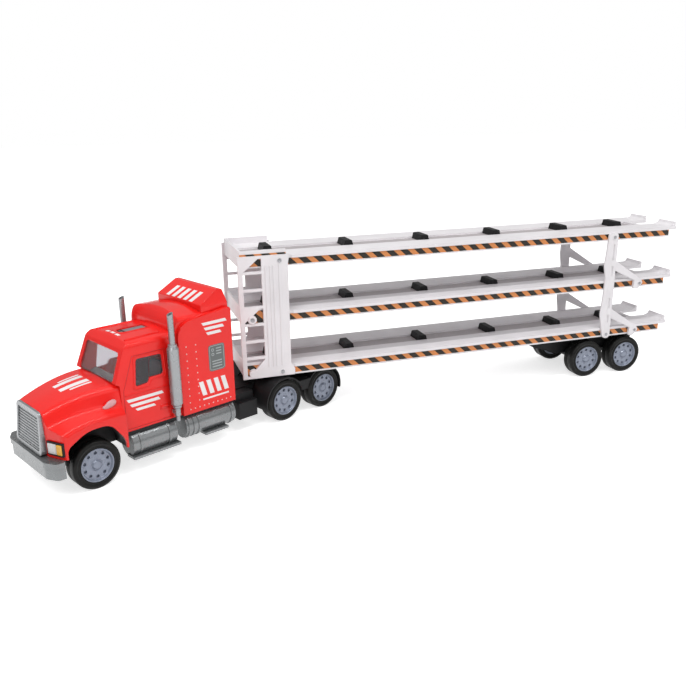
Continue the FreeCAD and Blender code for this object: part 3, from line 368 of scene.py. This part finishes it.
def tube(bm, points, radius, closed=False, sides=8):
    """Round bead along a line of points."""
    points = [Vector(p) for p in points]
    count = len(points)
    rings = []
    across = None
    for i, here in enumerate(points):
        before = points[i - 1] if (closed or i) else here
        after = points[(i + 1) % count] if (closed or i < count - 1) else here
        along = (after - before).normalized()
        if across is None:
            across = along.orthogonal().normalized()
        across = (across - along * across.dot(along)).normalized()
        other = along.cross(across)
        rings.append([bm.verts.new(here + (across * c + other * t) * radius)
                      for c, t in round_points(sides)])
    for i in range(count if closed else count - 1):
        a, b = rings[i], rings[(i + 1) % count]
        shift = 0
        if closed and i == count - 1:
            shift = min(range(sides), key=lambda s: (a[0].co - b[s].co).length)
        band(bm, a, b[shift:] + b[:shift])
    if not closed:
        bm.faces.new(rings[0])
        bm.faces.new(rings[-1])


def block(bm, low, high, bevel):
    """Box with rounded edges."""
    made = bmesh.ops.create_cube(bm, size=1.0)["verts"]
    low, high = Vector(low), Vector(high)
    for vertex in made:
        vertex.co = Vector([low[i] if vertex.co[i] < 0 else high[i] for i in range(3)])
    edges = list({edge for vertex in made for edge in vertex.link_edges})
    bmesh.ops.bevel(bm, geom=edges, offset=bevel, segments=3, affect="EDGES", profile=0.5)


def sight(look):
    """The two axes across a look (axis, sign), and the direction that it comes from."""
    axis, sign = look
    flat = [i for i in range(3) if i != axis]
    return flat, Vector([sign if k == axis else 0.0 for k in range(3)])


def flat_point(flat, a, b):
    """Point at a and b on two axes, and at 0 on the third."""
    point = Vector((0.0, 0.0, 0.0))
    point[flat[0]], point[flat[1]] = a, b
    return point


def drape(bm, shape, tree, look, lift, pitch=2.0, sink=0.25):
    """Lays a flat outline on a surface, cut at every pitch so that it follows the curves.

    Its top stands lift over the surface, and its underside lies sink under it.
    """
    flat, out = sight(look)
    verts = [bm.verts.new(flat_point(flat, a, b)) for a, b in shape]
    faces = [bm.faces.new(verts)]
    for i in flat:
        values = [v.co[i] for v in verts]
        normal = Vector([1.0 if k == i else 0.0 for k in range(3)])
        for step in range(1, int((max(values) - min(values)) / pitch) + 1):
            cut = min(values) + step * pitch
            geom = (faces + list({e for f in faces for e in f.edges})
                    + list({v for f in faces for v in f.verts}))
            done = bmesh.ops.bisect_plane(bm, geom=geom, dist=1e-5, plane_co=normal * cut,
                                          plane_no=normal)
            faces = [g for g in done["geom"] if isinstance(g, bmesh.types.BMFace)]
    for vertex in {v for f in faces for v in f.verts}:
        hit = tree.ray_cast(vertex.co + out * FAR, -out)[0]
        if hit is None:
            raise ValueError("a sticker reaches past its surface at %s" % vertex.co)
        vertex.co = hit + out * lift
    copy = bmesh.ops.extrude_face_region(bm, geom=faces)["geom"]
    for vertex in [g for g in copy if isinstance(g, bmesh.types.BMVert)]:
        vertex.co -= out * (lift + sink)


def on_surface(points, tree, look):
    """Puts (a, b) points on a surface, seen along one axis, and drops those that miss it."""
    flat, out = sight(look)
    hits = [tree.ray_cast(flat_point(flat, a, b) + out * FAR, -out)[0] for a, b in points]
    return [hit for hit in hits if hit is not None]


def fill_line(points, pitch=2.0, closed=False):
    """Adds points along straight runs."""
    ends = points[1:] + ([points[0]] if closed else [])
    line = []
    for a, b in zip(points, ends):
        a, b = Vector(a), Vector(b)
        steps = max(1, int((b - a).length / pitch))
        line += [a + (b - a) * k / steps for k in range(steps)]
    return line if closed else line + [Vector(points[-1])]


# ---- wheels ----
STEPS = 80
HOLES = 10
wheel_low, wheel_high = extent("trailer_front_tyres", TRAILER)
TYRE_R = (wheel_high.z - wheel_low.z) / 2
FACE_Y = wheel_high.y
rim_low, rim_high = extent("trailer_front_rims", TRAILER)
SEAT_R = (rim_high.z - rim_low.z) / 2
TYRE_W = 15.0
DISH = 2.4                               # rim disc behind the tyre's face
HOLE_R = 1.3
HOLE_RING = (8.4, 11.8)                  # inner and outer radius of the band that the holes are in


def tyre_profile():
    """(radius, depth behind the outer face) round the tyre's section."""
    wall = [(SEAT_R, 1.0), (SEAT_R + 0.2, 0.45), (SEAT_R + 0.9, 0.15), (SEAT_R + 1.4, 0.4),
            (SEAT_R + 1.7, 0.65), (SEAT_R + 2.2, 0.65), (SEAT_R + 2.5, 0.3), (SEAT_R + 3.5, 0.15),
            (SEAT_R + 3.75, 0.0), (SEAT_R + 4.0, 0.0), (SEAT_R + 4.2, 0.2)]
    shoulder = arc(TYRE_R - 1.6, 2.0, 1.6, -78, 0, 7)
    outer = wall + shoulder
    inner = [(r, TYRE_W - d) for r, d in reversed(outer)]
    parting = [(TYRE_R, TYRE_W / 2 - 0.3), (TYRE_R - 0.12, TYRE_W / 2 - 0.15),
               (TYRE_R - 0.12, TYRE_W / 2 + 0.15), (TYRE_R, TYRE_W / 2 + 0.3)]
    return outer + parting + inner


def rim_disc(bm):
    """Ring of the rim's disc with round holes through it."""
    inner, outer = HOLE_RING
    cell = 2 * math.pi / HOLES
    arcs, sides = STEPS // HOLES, 4
    for hole in range(HOLES):
        start = hole * cell
        polar = [(inner, start + cell * k / arcs) for k in range(arcs)]
        polar += [(inner + (outer - inner) * k / sides, start + cell) for k in range(sides)]
        polar += [(outer, start + cell - cell * k / arcs) for k in range(arcs)]
        polar += [(outer - (outer - inner) * k / sides, start) for k in range(sides)]
        middle = start + cell / 2
        centre = Vector((math.cos(middle), 0, math.sin(middle))) * (inner + outer) / 2
        border, edge, lip, deep = [], [], [], []
        for radius, turn in polar:
            point = Vector((radius * math.cos(turn), -DISH, radius * math.sin(turn)))
            away = (point - centre - Vector((0, point.y, 0))).normalized()
            border.append(bm.verts.new(point))
            edge.append(bm.verts.new(centre + away * (HOLE_R + 0.25) + LEFT * -DISH))
            lip.append(bm.verts.new(centre + away * HOLE_R + LEFT * (-DISH - 0.2)))
            deep.append(bm.verts.new(centre + away * HOLE_R + LEFT * (-DISH - 1.6)))
        for ring, nxt in ((border, edge), (edge, lip), (lip, deep)):
            band(bm, ring, nxt)


def rim_mesh():
    """Rim about its own centre, its outer face towards +y."""
    bm = bmesh.new()
    centre = Vector((0, 0, 0))
    dish = [(HOLE_RING[1], -DISH), (SEAT_R - 1.85, -DISH + 0.1), (SEAT_R - 1.5, -DISH + 0.7),
            (SEAT_R - 1.15, -0.5), (SEAT_R - 0.95, -0.15), (SEAT_R - 0.7, 0.0),
            (SEAT_R - 0.3, 0.0), (SEAT_R, -0.25), (SEAT_R, 1.0 - TYRE_W),
            (SEAT_R - 1.6, 1.0 - TYRE_W), (SEAT_R - 1.6, -DISH - 1.8), (5.0, -DISH - 1.8),
            (5.0, -DISH - 10.0), (2.0, -DISH - 10.0)]
    hub = [(HOLE_RING[0], -DISH), (5.0, -DISH), (4.7, -DISH - 0.35), (4.1, -DISH - 0.35),
           (3.8, -DISH), (3.1, -DISH + 1.1), (2.8, -DISH + 1.35), (2.3, -DISH + 1.4),
           (0, -DISH + 1.4)]
    spin(bm, dish, centre, LEFT, STEPS)
    spin(bm, hub, centre, LEFT, STEPS)
    rim_disc(bm)
    bmesh.ops.remove_doubles(bm, verts=bm.verts, dist=1e-3)
    return bm


def make_wheels():
    """Two tyres and two rims for each axle, all sharing one tyre mesh and one rim mesh."""
    tyre = bmesh.new()
    section = [(r, -d) for r, d in tyre_profile()]
    spin(tyre, section, Vector((0, 0, 0)), LEFT, STEPS, closed=True)
    metres = Matrix.Scale(MM, 4)
    shared = {"tyres": finished_mesh("wheel_tyres", tyre, metres, RUBBER, 50.0),
              "rims": finished_mesh("wheel_rims", rim_mesh(), metres, RIM, 40.0)}
    slots = {"tyres": "tyre", "rims": "rim"}
    for name in joints:
        if not name.endswith("_spin"):
            continue
        axle = name[:-len("_spin")]
        vehicle = vehicle_frame(name)
        upright = vehicle.to_3x3().normalized().to_4x4()
        for side, word in SIDES:
            face = vehicle @ Vector((0, side * FACE_Y, TYRE_R))
            turn = Matrix.Rotation(math.pi if side < 0 else 0.0, 4, "Z")
            place = Matrix.Translation(face) @ upright @ turn
            for kind, mesh in shared.items():
                wheel = add_piece("%s_%s_%s" % (axle, slots[kind], word), mesh,
                                  axle + "_wheels", place)
                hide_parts("%s_%s" % (axle, kind))


make_wheels()


# ---- fasteners ----
def screw(bm, centre, out, radius):
    """Pan-head screw with a cross recess, its head towards out."""
    out = out.normalized()
    across = out.orthogonal().normalized()
    other = out.cross(across)
    steps, rings = 24, 5
    grid = []
    for i in range(rings + 1):
        r = radius * i / rings
        row = []
        for c, t in round_points(steps):
            a, b = r * c, r * t
            height = 0.55 * math.sqrt(max(0.0, 1 - 0.8 * (r / radius) ** 2))
            slot = min(abs(a), abs(b)) < radius * 0.16 and max(abs(a), abs(b)) < radius * 0.68
            height -= 0.4 if slot else 0.0
            row.append(bm.verts.new(centre + across * a + other * b + out * height))
            if i == 0:
                break
        grid.append(row)
    foot = [bm.verts.new(v.co - out * (v.co - centre).dot(out) - out * 0.2) for v in grid[-1]]
    grid.append(foot)
    for low, high in zip(grid, grid[1:]):
        for k in range(steps):
            corners = [low[k % len(low)], low[(k + 1) % len(low)], high[(k + 1) % steps], high[k]]
            bm.faces.new(list(dict.fromkeys(corners)))
    bm.faces.new(foot)


def washer(bm, centre, out, inner, outer, height):
    """Low ring with a rounded top."""
    profile = [(inner, -0.2), (inner, height * 0.7), (inner + 0.15, height), (outer - 0.25, height),
               (outer, height * 0.5), (outer, -0.2)]
    spin(bm, profile, centre, out, 32, closed=True)


def make_trailer_fasteners():
    """Screws in ringed holes on the side frames and braces, on both sides."""
    frame_low, frame_high = extent("side_frame_left", TRAILER)
    brace_low, brace_high = extent("rear_brace_left", TRAILER)
    # forward of the axle, height, surface (frame or brace), screw radius, ring radius
    table = (
        (338.3, frame_high.z - 5.2, "frame", 1.9, 2.7),
        (339.0, frame_low.z + 3.9, "frame", 1.9, 2.7),
        (365.5, frame_low.z + 56.4, "frame", 2.0, 3.4),
        (-19.0, brace_high.z - 4.8, "brace", 1.7, 2.9),
        (-19.0, brace_low.z + 4.8, "brace", 1.7, 2.9),
        (-56.0, brace_low.z + 5.8, "brace", 1.5, 2.5),
        (-56.0, brace_low.z + 57.9, "brace", 1.5, 2.5),
    )
    for side, word in SIDES:
        trees = {"frame": surface("side_frame_" + word, TRAILER),
                 "brace": surface("rear_brace_" + word, TRAILER)}
        heads, rings = bmesh.new(), bmesh.new()
        out = LEFT * side
        for x, z, what, radius, ring in table:
            spot = trees[what].ray_cast(Vector((x, side * BESIDE, z)), -out)[0]
            if spot is None:
                raise ValueError("a screw misses the %s at %s, %s" % (what, x, z))
            screw(heads, spot, out, radius)
            washer(rings, spot, out, radius + 0.25, ring, 0.35)
        on_trailer("trailer_screws_" + word, heads, SCREW)
        on_trailer("trailer_screw_rings_" + word, rings, WHITE)


make_trailer_fasteners()


# ---- tractor: rivets, stickers, seams ----
cab_low, cab_high = extent("cab_body", TRACTOR)
sleeper_low, sleeper_high = extent("sleeper_body", TRACTOR)
fairing_high = extent("roof_fairing", TRACTOR)[1]
hood_tree = surface("hood", TRACTOR)
cab_tree = surface("cab_body", TRACTOR)
sleeper_tree = surface("sleeper_body", TRACTOR)
fairing_tree = surface("roof_fairing", TRACTOR)
RIVET_PITCH = 6.2
RIVET_HEAD = [(0.62, -0.2), (0.62, 0.06), (0.5, 0.24), (0.28, 0.36), (0, 0.4)]
PRINT_LIFT = 0.06                        # top of a print over the surface that it is laid on


def make_rivets():
    """Rows of rivets on the sleeper's side panels: two upright, one along the lower edge."""
    for side, word in SIDES:
        bm = bmesh.new()
        front, floor = sleeper_high.x - 8.0, sleeper_low.z + 4.0
        spots = [(front, floor + RIVET_PITCH * k) for k in range(10)]
        spots += [(front - 9.3, floor + RIVET_PITCH * (k + 1)) for k in range(9)]
        spots += [(front - 4.6 * (k + 1), floor) for k in range(9)]
        for hit in on_surface(spots, sleeper_tree, (1, side)):
            spin(bm, RIVET_HEAD, hit, LEFT * side, 12)
        # rivet heads in pale pink, a painted highlight
        on_tractor("sleeper_rivets_" + word, bm, RIVET)


def slanted(x, z, length, height, lean):
    """Parallelogram whose top edge leans."""
    return [(x, z), (x + length, z), (x + length + lean, z + height), (x + lean, z + height)]


def make_stickers():
    """Plain white bars where a toy like this carries its prints."""
    for side, word in SIDES:
        bm = bmesh.new()
        look = (1, side)
        rear, low = cab_low.x + 14.0, cab_low.z + 15.0
        for x, z, length, height in ((0, 9.5, 32, 2.6), (3.5, 5.0, 26, 2.6), (8.0, 0.8, 17, 2.2)):
            drape(bm, slanted(rear + x, low + z, length, height, 1.8), cab_tree, look, PRINT_LIFT)
        on_tractor("door_print_" + word, bm, STICKER)
        bm = bmesh.new()
        back = sleeper_low.x + 4.5
        top, base = sleeper_high.z - 20.0, sleeper_low.z + 13.0
        bars = [(back + x, top + z, length, 2.6, 1.6)
                for x, z, length in ((0, 6.0, 24), (3.0, 1.5, 19), (6.0, -3.0, 14))]
        bars += [(back + 2.0 + 7.5 * k, base, 4.4, 13.0, 3.4) for k in range(4)]
        bars += [(back + 2.0, base - 4.2, 26.9, 1.5, 0.4)]
        for bar in bars:
            drape(bm, slanted(*bar), sleeper_tree, look, PRINT_LIFT)
        on_tractor("sleeper_print_" + word, bm, STICKER)
        make_window_sticker(side, word)
    bm = bmesh.new()
    for side, _ in SIDES:
        for half, width, rear, front in ((3.0, 5.5, 9, 33), (10.5, 2.4, 9, 27)):
            y0, y1 = sorted((side * half, side * (half + width)))
            x0, x1 = cab_high.x + rear, cab_high.x + front
            shape = [(x0, y0), (x1, y0 * 0.93), (x1, y1 * 0.93), (x0, y1)]
            drape(bm, shape, hood_tree, TOP, PRINT_LIFT)
    on_tractor("hood_print", bm, STICKER)
    bm = bmesh.new()
    z0, z1 = fairing_high.z - 10.0, fairing_high.z - 3.5
    for k in range(5):
        y = 9.0 * (k - 2)
        shape = [(y - 3.4, z0), (y + 1.6, z0), (y + 3.4, z1), (y - 1.6, z1)]
        drape(bm, shape, fairing_tree, FRONT, 0.08)
    on_tractor("fairing_print", bm, STICKER)
    bm = bmesh.new()
    x = cab_high.x - 20.5
    for k in range(3):
        y = 8.0 * (k - 1)
        shape = [(x, y - 2.6), (x + 2.6, y - 2.6), (x + 2.6, y + 2.6), (x, y + 2.6)]
        drape(bm, shape, cab_tree, TOP, PRINT_LIFT)
    on_tractor("roof_print", bm, STICKER)


def make_window_sticker(side, word):
    """Grey printed bunk window: rounded panel, light frame line and plain slats."""
    look = (1, side)
    x0, x1 = sleeper_low.x + 8.6, sleeper_low.x + 25.2
    z0, z1 = sleeper_high.z - 56.0, sleeper_high.z - 32.5
    bm = bmesh.new()
    panel = round_corners([(x0, z0), (x1, z0), (x1, z1), (x0, z1)], 3.0)
    drape(bm, panel, sleeper_tree, look, 0.05)
    on_tractor("bunk_window_" + word, bm, STICKER_GREY)
    bm = bmesh.new()
    inset = 1.1
    loop = round_corners([(x0 + inset, z0 + inset), (x1 - inset, z0 + inset),
                          (x1 - inset, z1 - inset), (x0 + inset, z1 - inset)], 2.2)
    tube(bm, on_surface(loop, sleeper_tree, look), 0.28, closed=True)
    slats = [(z0 + z, 9.8) for z in (3.4, 5.8, 8.2)] + [(z1 - z, 5.4) for z in (4.2, 6.6, 9.0)]
    for z, length in slats:
        drape(bm, slanted(x0 + 3.4, z, length, 0.9, 0.0), sleeper_tree, look, 0.1)
    for z in (z1 - 4.6, z1 - 8.6):
        knob = on_surface([(x1 - 4.4, z)], sleeper_tree, look)[0]
        washer(bm, knob, LEFT * side, 0.8, 1.4, 0.14)
    on_tractor("bunk_window_lines_" + word, bm, STICKER_LINE)


def make_seams():
    """Door outlines, window frames and roof beads."""
    door_rear, door_front = cab_low.x + 8.5, cab_high.x - 6.0
    low, belt, top = cab_low.z + 2.0, cab_low.z + 34.5, cab_low.z + 61.5
    window_low, window_high = extent("side_windows", TRACTOR)
    for side, word in SIDES:
        look = (1, side)
        bm = bmesh.new()
        outline = fill_line([(door_rear, low), (door_front, low), (door_front, belt),
                             (door_front - 11, top), (door_rear, top)], closed=True)
        tube(bm, on_surface(outline, cab_tree, look), 0.22, closed=True, sides=6)
        # the seam bead's darker red is painted shade of the groove round the door
        on_tractor("door_seam_" + word, bm, SEAM_PAINTED_SHADE)
        bm = bmesh.new()
        line = fill_line([(door_rear + 1.0, cab_low.z + 30.0),
                          (door_front - 1.0, cab_low.z + 31.0)])
        tube(bm, on_surface(line, cab_tree, look), 0.5)
        frame_loop = round_corners([(window_low.x - 2, window_low.z + 2.6),
                                    (window_low.x + 11, window_low.z + 2.6),
                                    (window_low.x + 14.5, window_low.z - 2.2),
                                    (window_high.x + 2.4, window_low.z - 2.2),
                                    (window_high.x - 0.8, window_high.z + 2.2),
                                    (window_low.x - 2, window_high.z + 2.2)], 2.0, 4)
        placed = on_surface(fill_line(frame_loop, closed=True), cab_tree, look)
        tube(bm, placed, 0.5, closed=True)
        x, z = door_rear + 6.0, cab_low.z + 13.0
        hit = on_surface([(x, z)], cab_tree, look)[0]
        y0, y1 = sorted((hit.y - side * 0.5, hit.y + side * 1.0))
        block(bm, (x - 3.2, y0, z - 1.1), (x + 3.2, y1, z + 1.1), 0.45)
        block(bm, (x - 4.2, min(hit.y, hit.y + side * 0.3), z - 2.4),
              (x + 4.2, max(hit.y, hit.y + side * 0.3), z + 1.9), 0.14)
        on_tractor("door_trim_" + word, bm, RED)
    bm = bmesh.new()
    for side, _ in SIDES:
        line = fill_line([(cab_low.x + 7.0, side * 22.5), (cab_high.x - 16.5, side * 24.0)])
        tube(bm, on_surface(line, cab_tree, TOP), 1.0)
    on_tractor("roof_beads", bm, RED)


def ring_plate(bm, outer, inner, low, high):
    """Flat plate between two outlines with as many points each, standing from low to high."""
    loops = []
    for outline, z in ((outer, low), (outer, high), (inner, high), (inner, low)):
        loops.append([bm.verts.new((x, y, z)) for x, y in outline])
    for ring, nxt in zip(loops, loops[1:] + loops[:1]):
        band(bm, ring, nxt)


def make_hatch():
    """Surround that narrows the roof hatch to a rounded front, and black ribs across its front, painted shade."""
    low, high = extent("roof_hatch", TRACTOR)
    edge = on_surface([(low.x + 2, high.y + 0.9)], cab_tree, TOP)[0].z
    steps, squash = 6, 0.72              # parts of a corner; the round front's length over half
    outer = round_corners([(low.x - 0.4, low.y - 0.6), (high.x + 0.8, low.y - 0.6),
                           (high.x + 0.8, high.y + 0.6), (low.x - 0.4, high.y + 0.6)], 0.8, steps)
    half, rear, front = high.y - 1.4, low.x + 0.3, high.x - 0.6
    inner = round_corners([(rear, -half), (front, -half), (front, half), (rear, half)], 0.6, steps)
    tip = arc(0, 0, half, -90, 0, steps) + arc(0, 0, half, 0, 90, steps)
    corner = steps + 1
    inner[corner:3 * corner] = [(front + (x - half) * squash, y) for x, y in tip]
    bm = bmesh.new()
    ring_plate(bm, outer, inner, edge - 1.2, edge + 0.35)
    on_tractor("hatch_surround", bm, RED)
    bm = bmesh.new()
    # black ribs: painted shade in dark bands at the hatch's front
    for x, reach in ((high.x - 6.4, half - 0.3), (high.x - 3.6, half - 1.5)):
        block(bm, (x, -reach, high.z - 0.6), (x + 1.3, reach, high.z + 0.35), 0.12)
    on_tractor("hatch_ribs_painted_shade", bm, BLACK)


LAMP_TILT = 17.0
LAMP_HALF_LEN, LAMP_HALF_H = 6.0, 2.6
LAMP_LEAN = 0.3                          # how much the lens widens towards its rear
LAMP_DOME = ((1.0, -0.6), (1.0, 0.35), (0.9, 0.75), (0.65, 1.1), (0.3, 1.25))  # share, height


def make_side_lamps():
    """Domed leaf-shaped lens on each pad, its narrow end forward and low."""
    low, high = extent("side_lamps", TRACTOR)
    middle = Vector(((low.x + high.x) / 2, (low.z + high.z) / 2 + 0.3))
    tilt = math.radians(LAMP_TILT)
    for side, word in SIDES:
        bm = bmesh.new()
        rings = []
        for share, height in LAMP_DOME:
            ring = []
            for c, t in round_points(32):
                along = LAMP_HALF_LEN * share * c
                width = LAMP_HALF_H * share * t * (1 + LAMP_LEAN * c)
                x = middle.x - along * math.cos(tilt) - width * math.sin(tilt)
                z = middle.y + along * math.sin(tilt) - width * math.cos(tilt)
                hit = hood_tree.ray_cast(Vector((x, side * BESIDE, z)), -LEFT * side)[0]
                skin = max(hit.y * side if hit else 0.0, high.y - 0.3)
                ring.append(bm.verts.new((x, side * (skin + height), z)))
            rings.append(ring)
        for ring, nxt in zip(rings, rings[1:]):
            band(bm, ring, nxt)
        bm.faces.new(rings[-1])
        bm.faces.new(rings[0])
        on_tractor("side_lamp_lens_" + word, bm, MARKER)


make_rivets()
make_stickers()
make_seams()
make_hatch()
make_side_lamps()


# ---- tractor: lamps ----
def make_headlamps():
    """Clear inner and amber outer lens on each dark pad."""
    inverse = TRACTOR.inverted()
    points = [inverse @ v.co for v in nodes["headlamps"].data.vertices]
    for side, word in SIDES:
        own = [p for p in points if p.y * side > 0]
        low_z, high_z = min(p.z for p in own), max(p.z for p in own)
        front = max(own, key=lambda p: p.x)
        outer = max(own, key=lambda p: p.y * side)
        across = Vector((outer.x - front.x, outer.y - front.y, 0))
        width = across.length
        across.normalize()
        out = Vector((across.y, -across.x, 0)) * side
        if out.x < 0:
            out = -out
        base = Vector((front.x, front.y, 0))
        rim, split, gap = 0.9, width * 0.60, 0.6
        lenses = (("clear", rim, split, LENS), ("amber", split + gap, width - rim, AMBER))
        for kind, start, end, material in lenses:
            bm = bmesh.new()
            block(bm, (start, -0.6, low_z + 1.3), (end, 0.7, high_z - 1.3), 0.5)
            for rib in range(4):
                x = start + (end - start) * (rib + 0.5) / 4
                block(bm, (x - 0.35, 0.5, low_z + 2.0), (x + 0.35, 0.95, high_z - 2.0), 0.15)
            turn = Matrix((across, out, UP)).transposed().to_4x4()
            bm.transform(Matrix.Translation(base) @ turn)
            on_tractor("headlamp_%s_%s" % (kind, word), bm, material)


def make_grille_back():
    """Panel close behind the slats, so that the gaps between them stay shallow."""
    low, high = extent("grille", TRACTOR)
    rim, lean = 3.4, 3.0                 # the shell's frame, and how much narrower its top is
    slat_back = 1.3
    bottom, top = low.z + rim, high.z - rim
    foot, head = high.x - slat_back, low.x + 1.8 - slat_back
    half_low, half_top = high.y - rim, high.y - lean - rim + 0.5
    bm = bmesh.new()
    front = [bm.verts.new(c) for c in ((foot, -half_low, bottom), (foot, half_low, bottom),
                                       (head, half_top, top), (head, -half_top, top))]
    rear = [bm.verts.new(v.co - Vector((0.3, 0, 0))) for v in front]
    bm.faces.new(front)
    bm.faces.new(rear)
    band(bm, front, rear)
    # its pale grey paints light into the gaps between the slats
    on_tractor("grille_back", bm, GRILLE_PANEL_LIT)


make_headlamps()
make_grille_back()


# ---- trailer: channel floors ----
CHANNEL_HALF = 10.2
CHANNEL_REAR, CHANNEL_FRONT = 31.8, 8.3  # from the deck's rear and front ends
UNCUT = 400.0                            # pitch over the floor's length, since it is flat


def make_channels():
    """Darker floor of the channel that runs along each deck."""
    for name in ("lower", "middle", "upper"):
        tree = surface(name + "_deck", TRAILER)
        low, high = extent(name + "_deck", TRAILER)
        rear, front = low.x + CHANNEL_REAR, high.x - CHANNEL_FRONT
        bm = bmesh.new()
        drape(bm, [(rear, -CHANNEL_HALF), (front, -CHANNEL_HALF), (front, CHANNEL_HALF),
                   (rear, CHANNEL_HALF)], tree, TOP, 0.05, pitch=UNCUT)
        on_trailer("channel_floor_" + name, bm, SHADE)


make_channels()


# ---- camera, floor and light ----
CAMERA_PLACE = TRAILER @ Vector((492.4, 696.3, 286.0))
CAMERA_YAW, CAMERA_PITCH, CAMERA_ROLL = -108.04, 17.42, 0.76       # degrees, pitch downwards
CAMERA_LENS, CAMERA_SENSOR = 39.64, 36.0
FLOOR_HALF = 6.0
FLOOR_GLOW = 0.68                        # what the floor adds in view, to be near white
WORLD_LEVEL = 0.58                       # light from all round, on the object
HORIZON, ZENITH = 0.25, 0.65             # what gloss reflects, low down and overhead
ZENITH_RISE = 0.8                        # z of a direction from which gloss reflects ZENITH
AIM = (0.0, 0.0, 0.05)                   # what the lights point at
WHITE_LIGHT = (1.0, 1.0, 1.0)


def make_camera():
    """Camera at its place, turned by yaw, pitch and roll."""
    yaw, pitch, roll = (math.radians(a) for a in (CAMERA_YAW, CAMERA_PITCH, CAMERA_ROLL))
    ahead = Vector((math.cos(yaw) * math.cos(pitch), math.sin(yaw) * math.cos(pitch),
                    -math.sin(pitch)))
    right = Vector((math.sin(yaw), -math.cos(yaw), 0))
    down = ahead.cross(right)
    rolled = right * math.cos(roll) + down * math.sin(roll)
    turn = Matrix((rolled, ahead.cross(rolled) * -1, -ahead)).transposed().to_4x4()
    camera = bpy.data.objects.new("camera", bpy.data.cameras.new("camera"))
    camera.data.lens = CAMERA_LENS
    camera.data.sensor_width = CAMERA_SENSOR
    camera.data.clip_end = 20.0
    camera.matrix_world = Matrix.Translation(CAMERA_PLACE) @ turn
    bpy.context.scene.collection.objects.link(camera)
    bpy.context.scene.camera = camera


def make_floor():
    """Pale floor that the camera sees as near white, and that keeps the object's shadow."""
    bm = bmesh.new()
    bmesh.ops.create_grid(bm, x_segments=1, y_segments=1, size=FLOOR_HALF)
    mesh = bpy.data.meshes.new("floor")
    bm.to_mesh(mesh)
    bm.free()
    floor = bpy.data.objects.new("floor", mesh)
    bpy.context.scene.collection.objects.link(floor)
    n = Nodes("floor")
    ray = n.add("ShaderNodeLightPath").outputs
    mirrored = n.math("MAXIMUM", ray["Is Glossy Ray"], ray["Is Transmission Ray"])
    seen = n.math("MAXIMUM", ray["Is Camera Ray"], mirrored)
    n.set(Base_Color=rgba((0.82, 0.82, 0.82)), Roughness=0.95, Specular_IOR_Level=0.0,
          Emission_Color=rgba(WHITE_LIGHT))
    n.link("Emission Strength", n.math("MULTIPLY", seen, FLOOR_GLOW))
    mesh.materials.append(n.material)


def area_light(name, place, aim, size, power, width=None):
    """Round light, or a strip where a width is given; sizes in metres, power in watts."""
    light = bpy.data.lights.new(name, "AREA")
    light.shape, light.size, light.energy = "RECTANGLE" if width else "DISK", size, power
    light.size_y = width or size
    lamp = bpy.data.objects.new(name, light)
    lamp.location = place
    lamp.rotation_euler = (Vector(aim) - Vector(place)).to_track_quat("-Z", "Y").to_euler()
    bpy.context.scene.collection.objects.link(lamp)


def make_world():
    """White in view and through glass, even light on the object, and a darker sky in gloss."""
    world = bpy.data.worlds.new("studio")
    bpy.context.scene.world = world
    world.use_nodes = True
    n = Tree(world.node_tree)
    ray = n.add("ShaderNodeLightPath").outputs
    seen = n.math("MAXIMUM", ray["Is Camera Ray"], ray["Is Transmission Ray"])
    place = n.add("ShaderNodeTexCoord").outputs["Generated"]
    height = n.add("ShaderNodeSeparateXYZ", {"Vector": place}).outputs["Z"]
    change = n.add("ShaderNodeMapRange", {"Value": height, "From Min": 0.0,
                                          "From Max": ZENITH_RISE,
                                          "To Min": HORIZON - WORLD_LEVEL,
                                          "To Max": ZENITH - WORLD_LEVEL}).outputs["Result"]
    level = n.add("ShaderNodeMath", {0: ray["Is Glossy Ray"], 1: change, 2: WORLD_LEVEL},
                  operation="MULTIPLY_ADD").outputs[0]
    sky = n.tree.nodes["Background"].inputs
    sky["Color"].default_value = rgba(WHITE_LIGHT)
    n.tree.links.new(n.math("MAXIMUM", seen, level), sky["Strength"])


make_camera()
make_floor()
make_world()
area_light("key", (0.9, 1.1, 1.5), AIM, 0.7, 6.0)
area_light("strip", (0.0, 0.45, 1.3), AIM, 1.8, 9.0, 0.03)
area_light("fill", (-0.9, 1.3, 0.9), AIM, 1.2, 3.5)
area_light("top", (0.0, -0.3, 1.8), (0.0, 0.0, 0.0), 1.4, 3.0)
bpy.context.scene.view_settings.view_transform = "Standard"
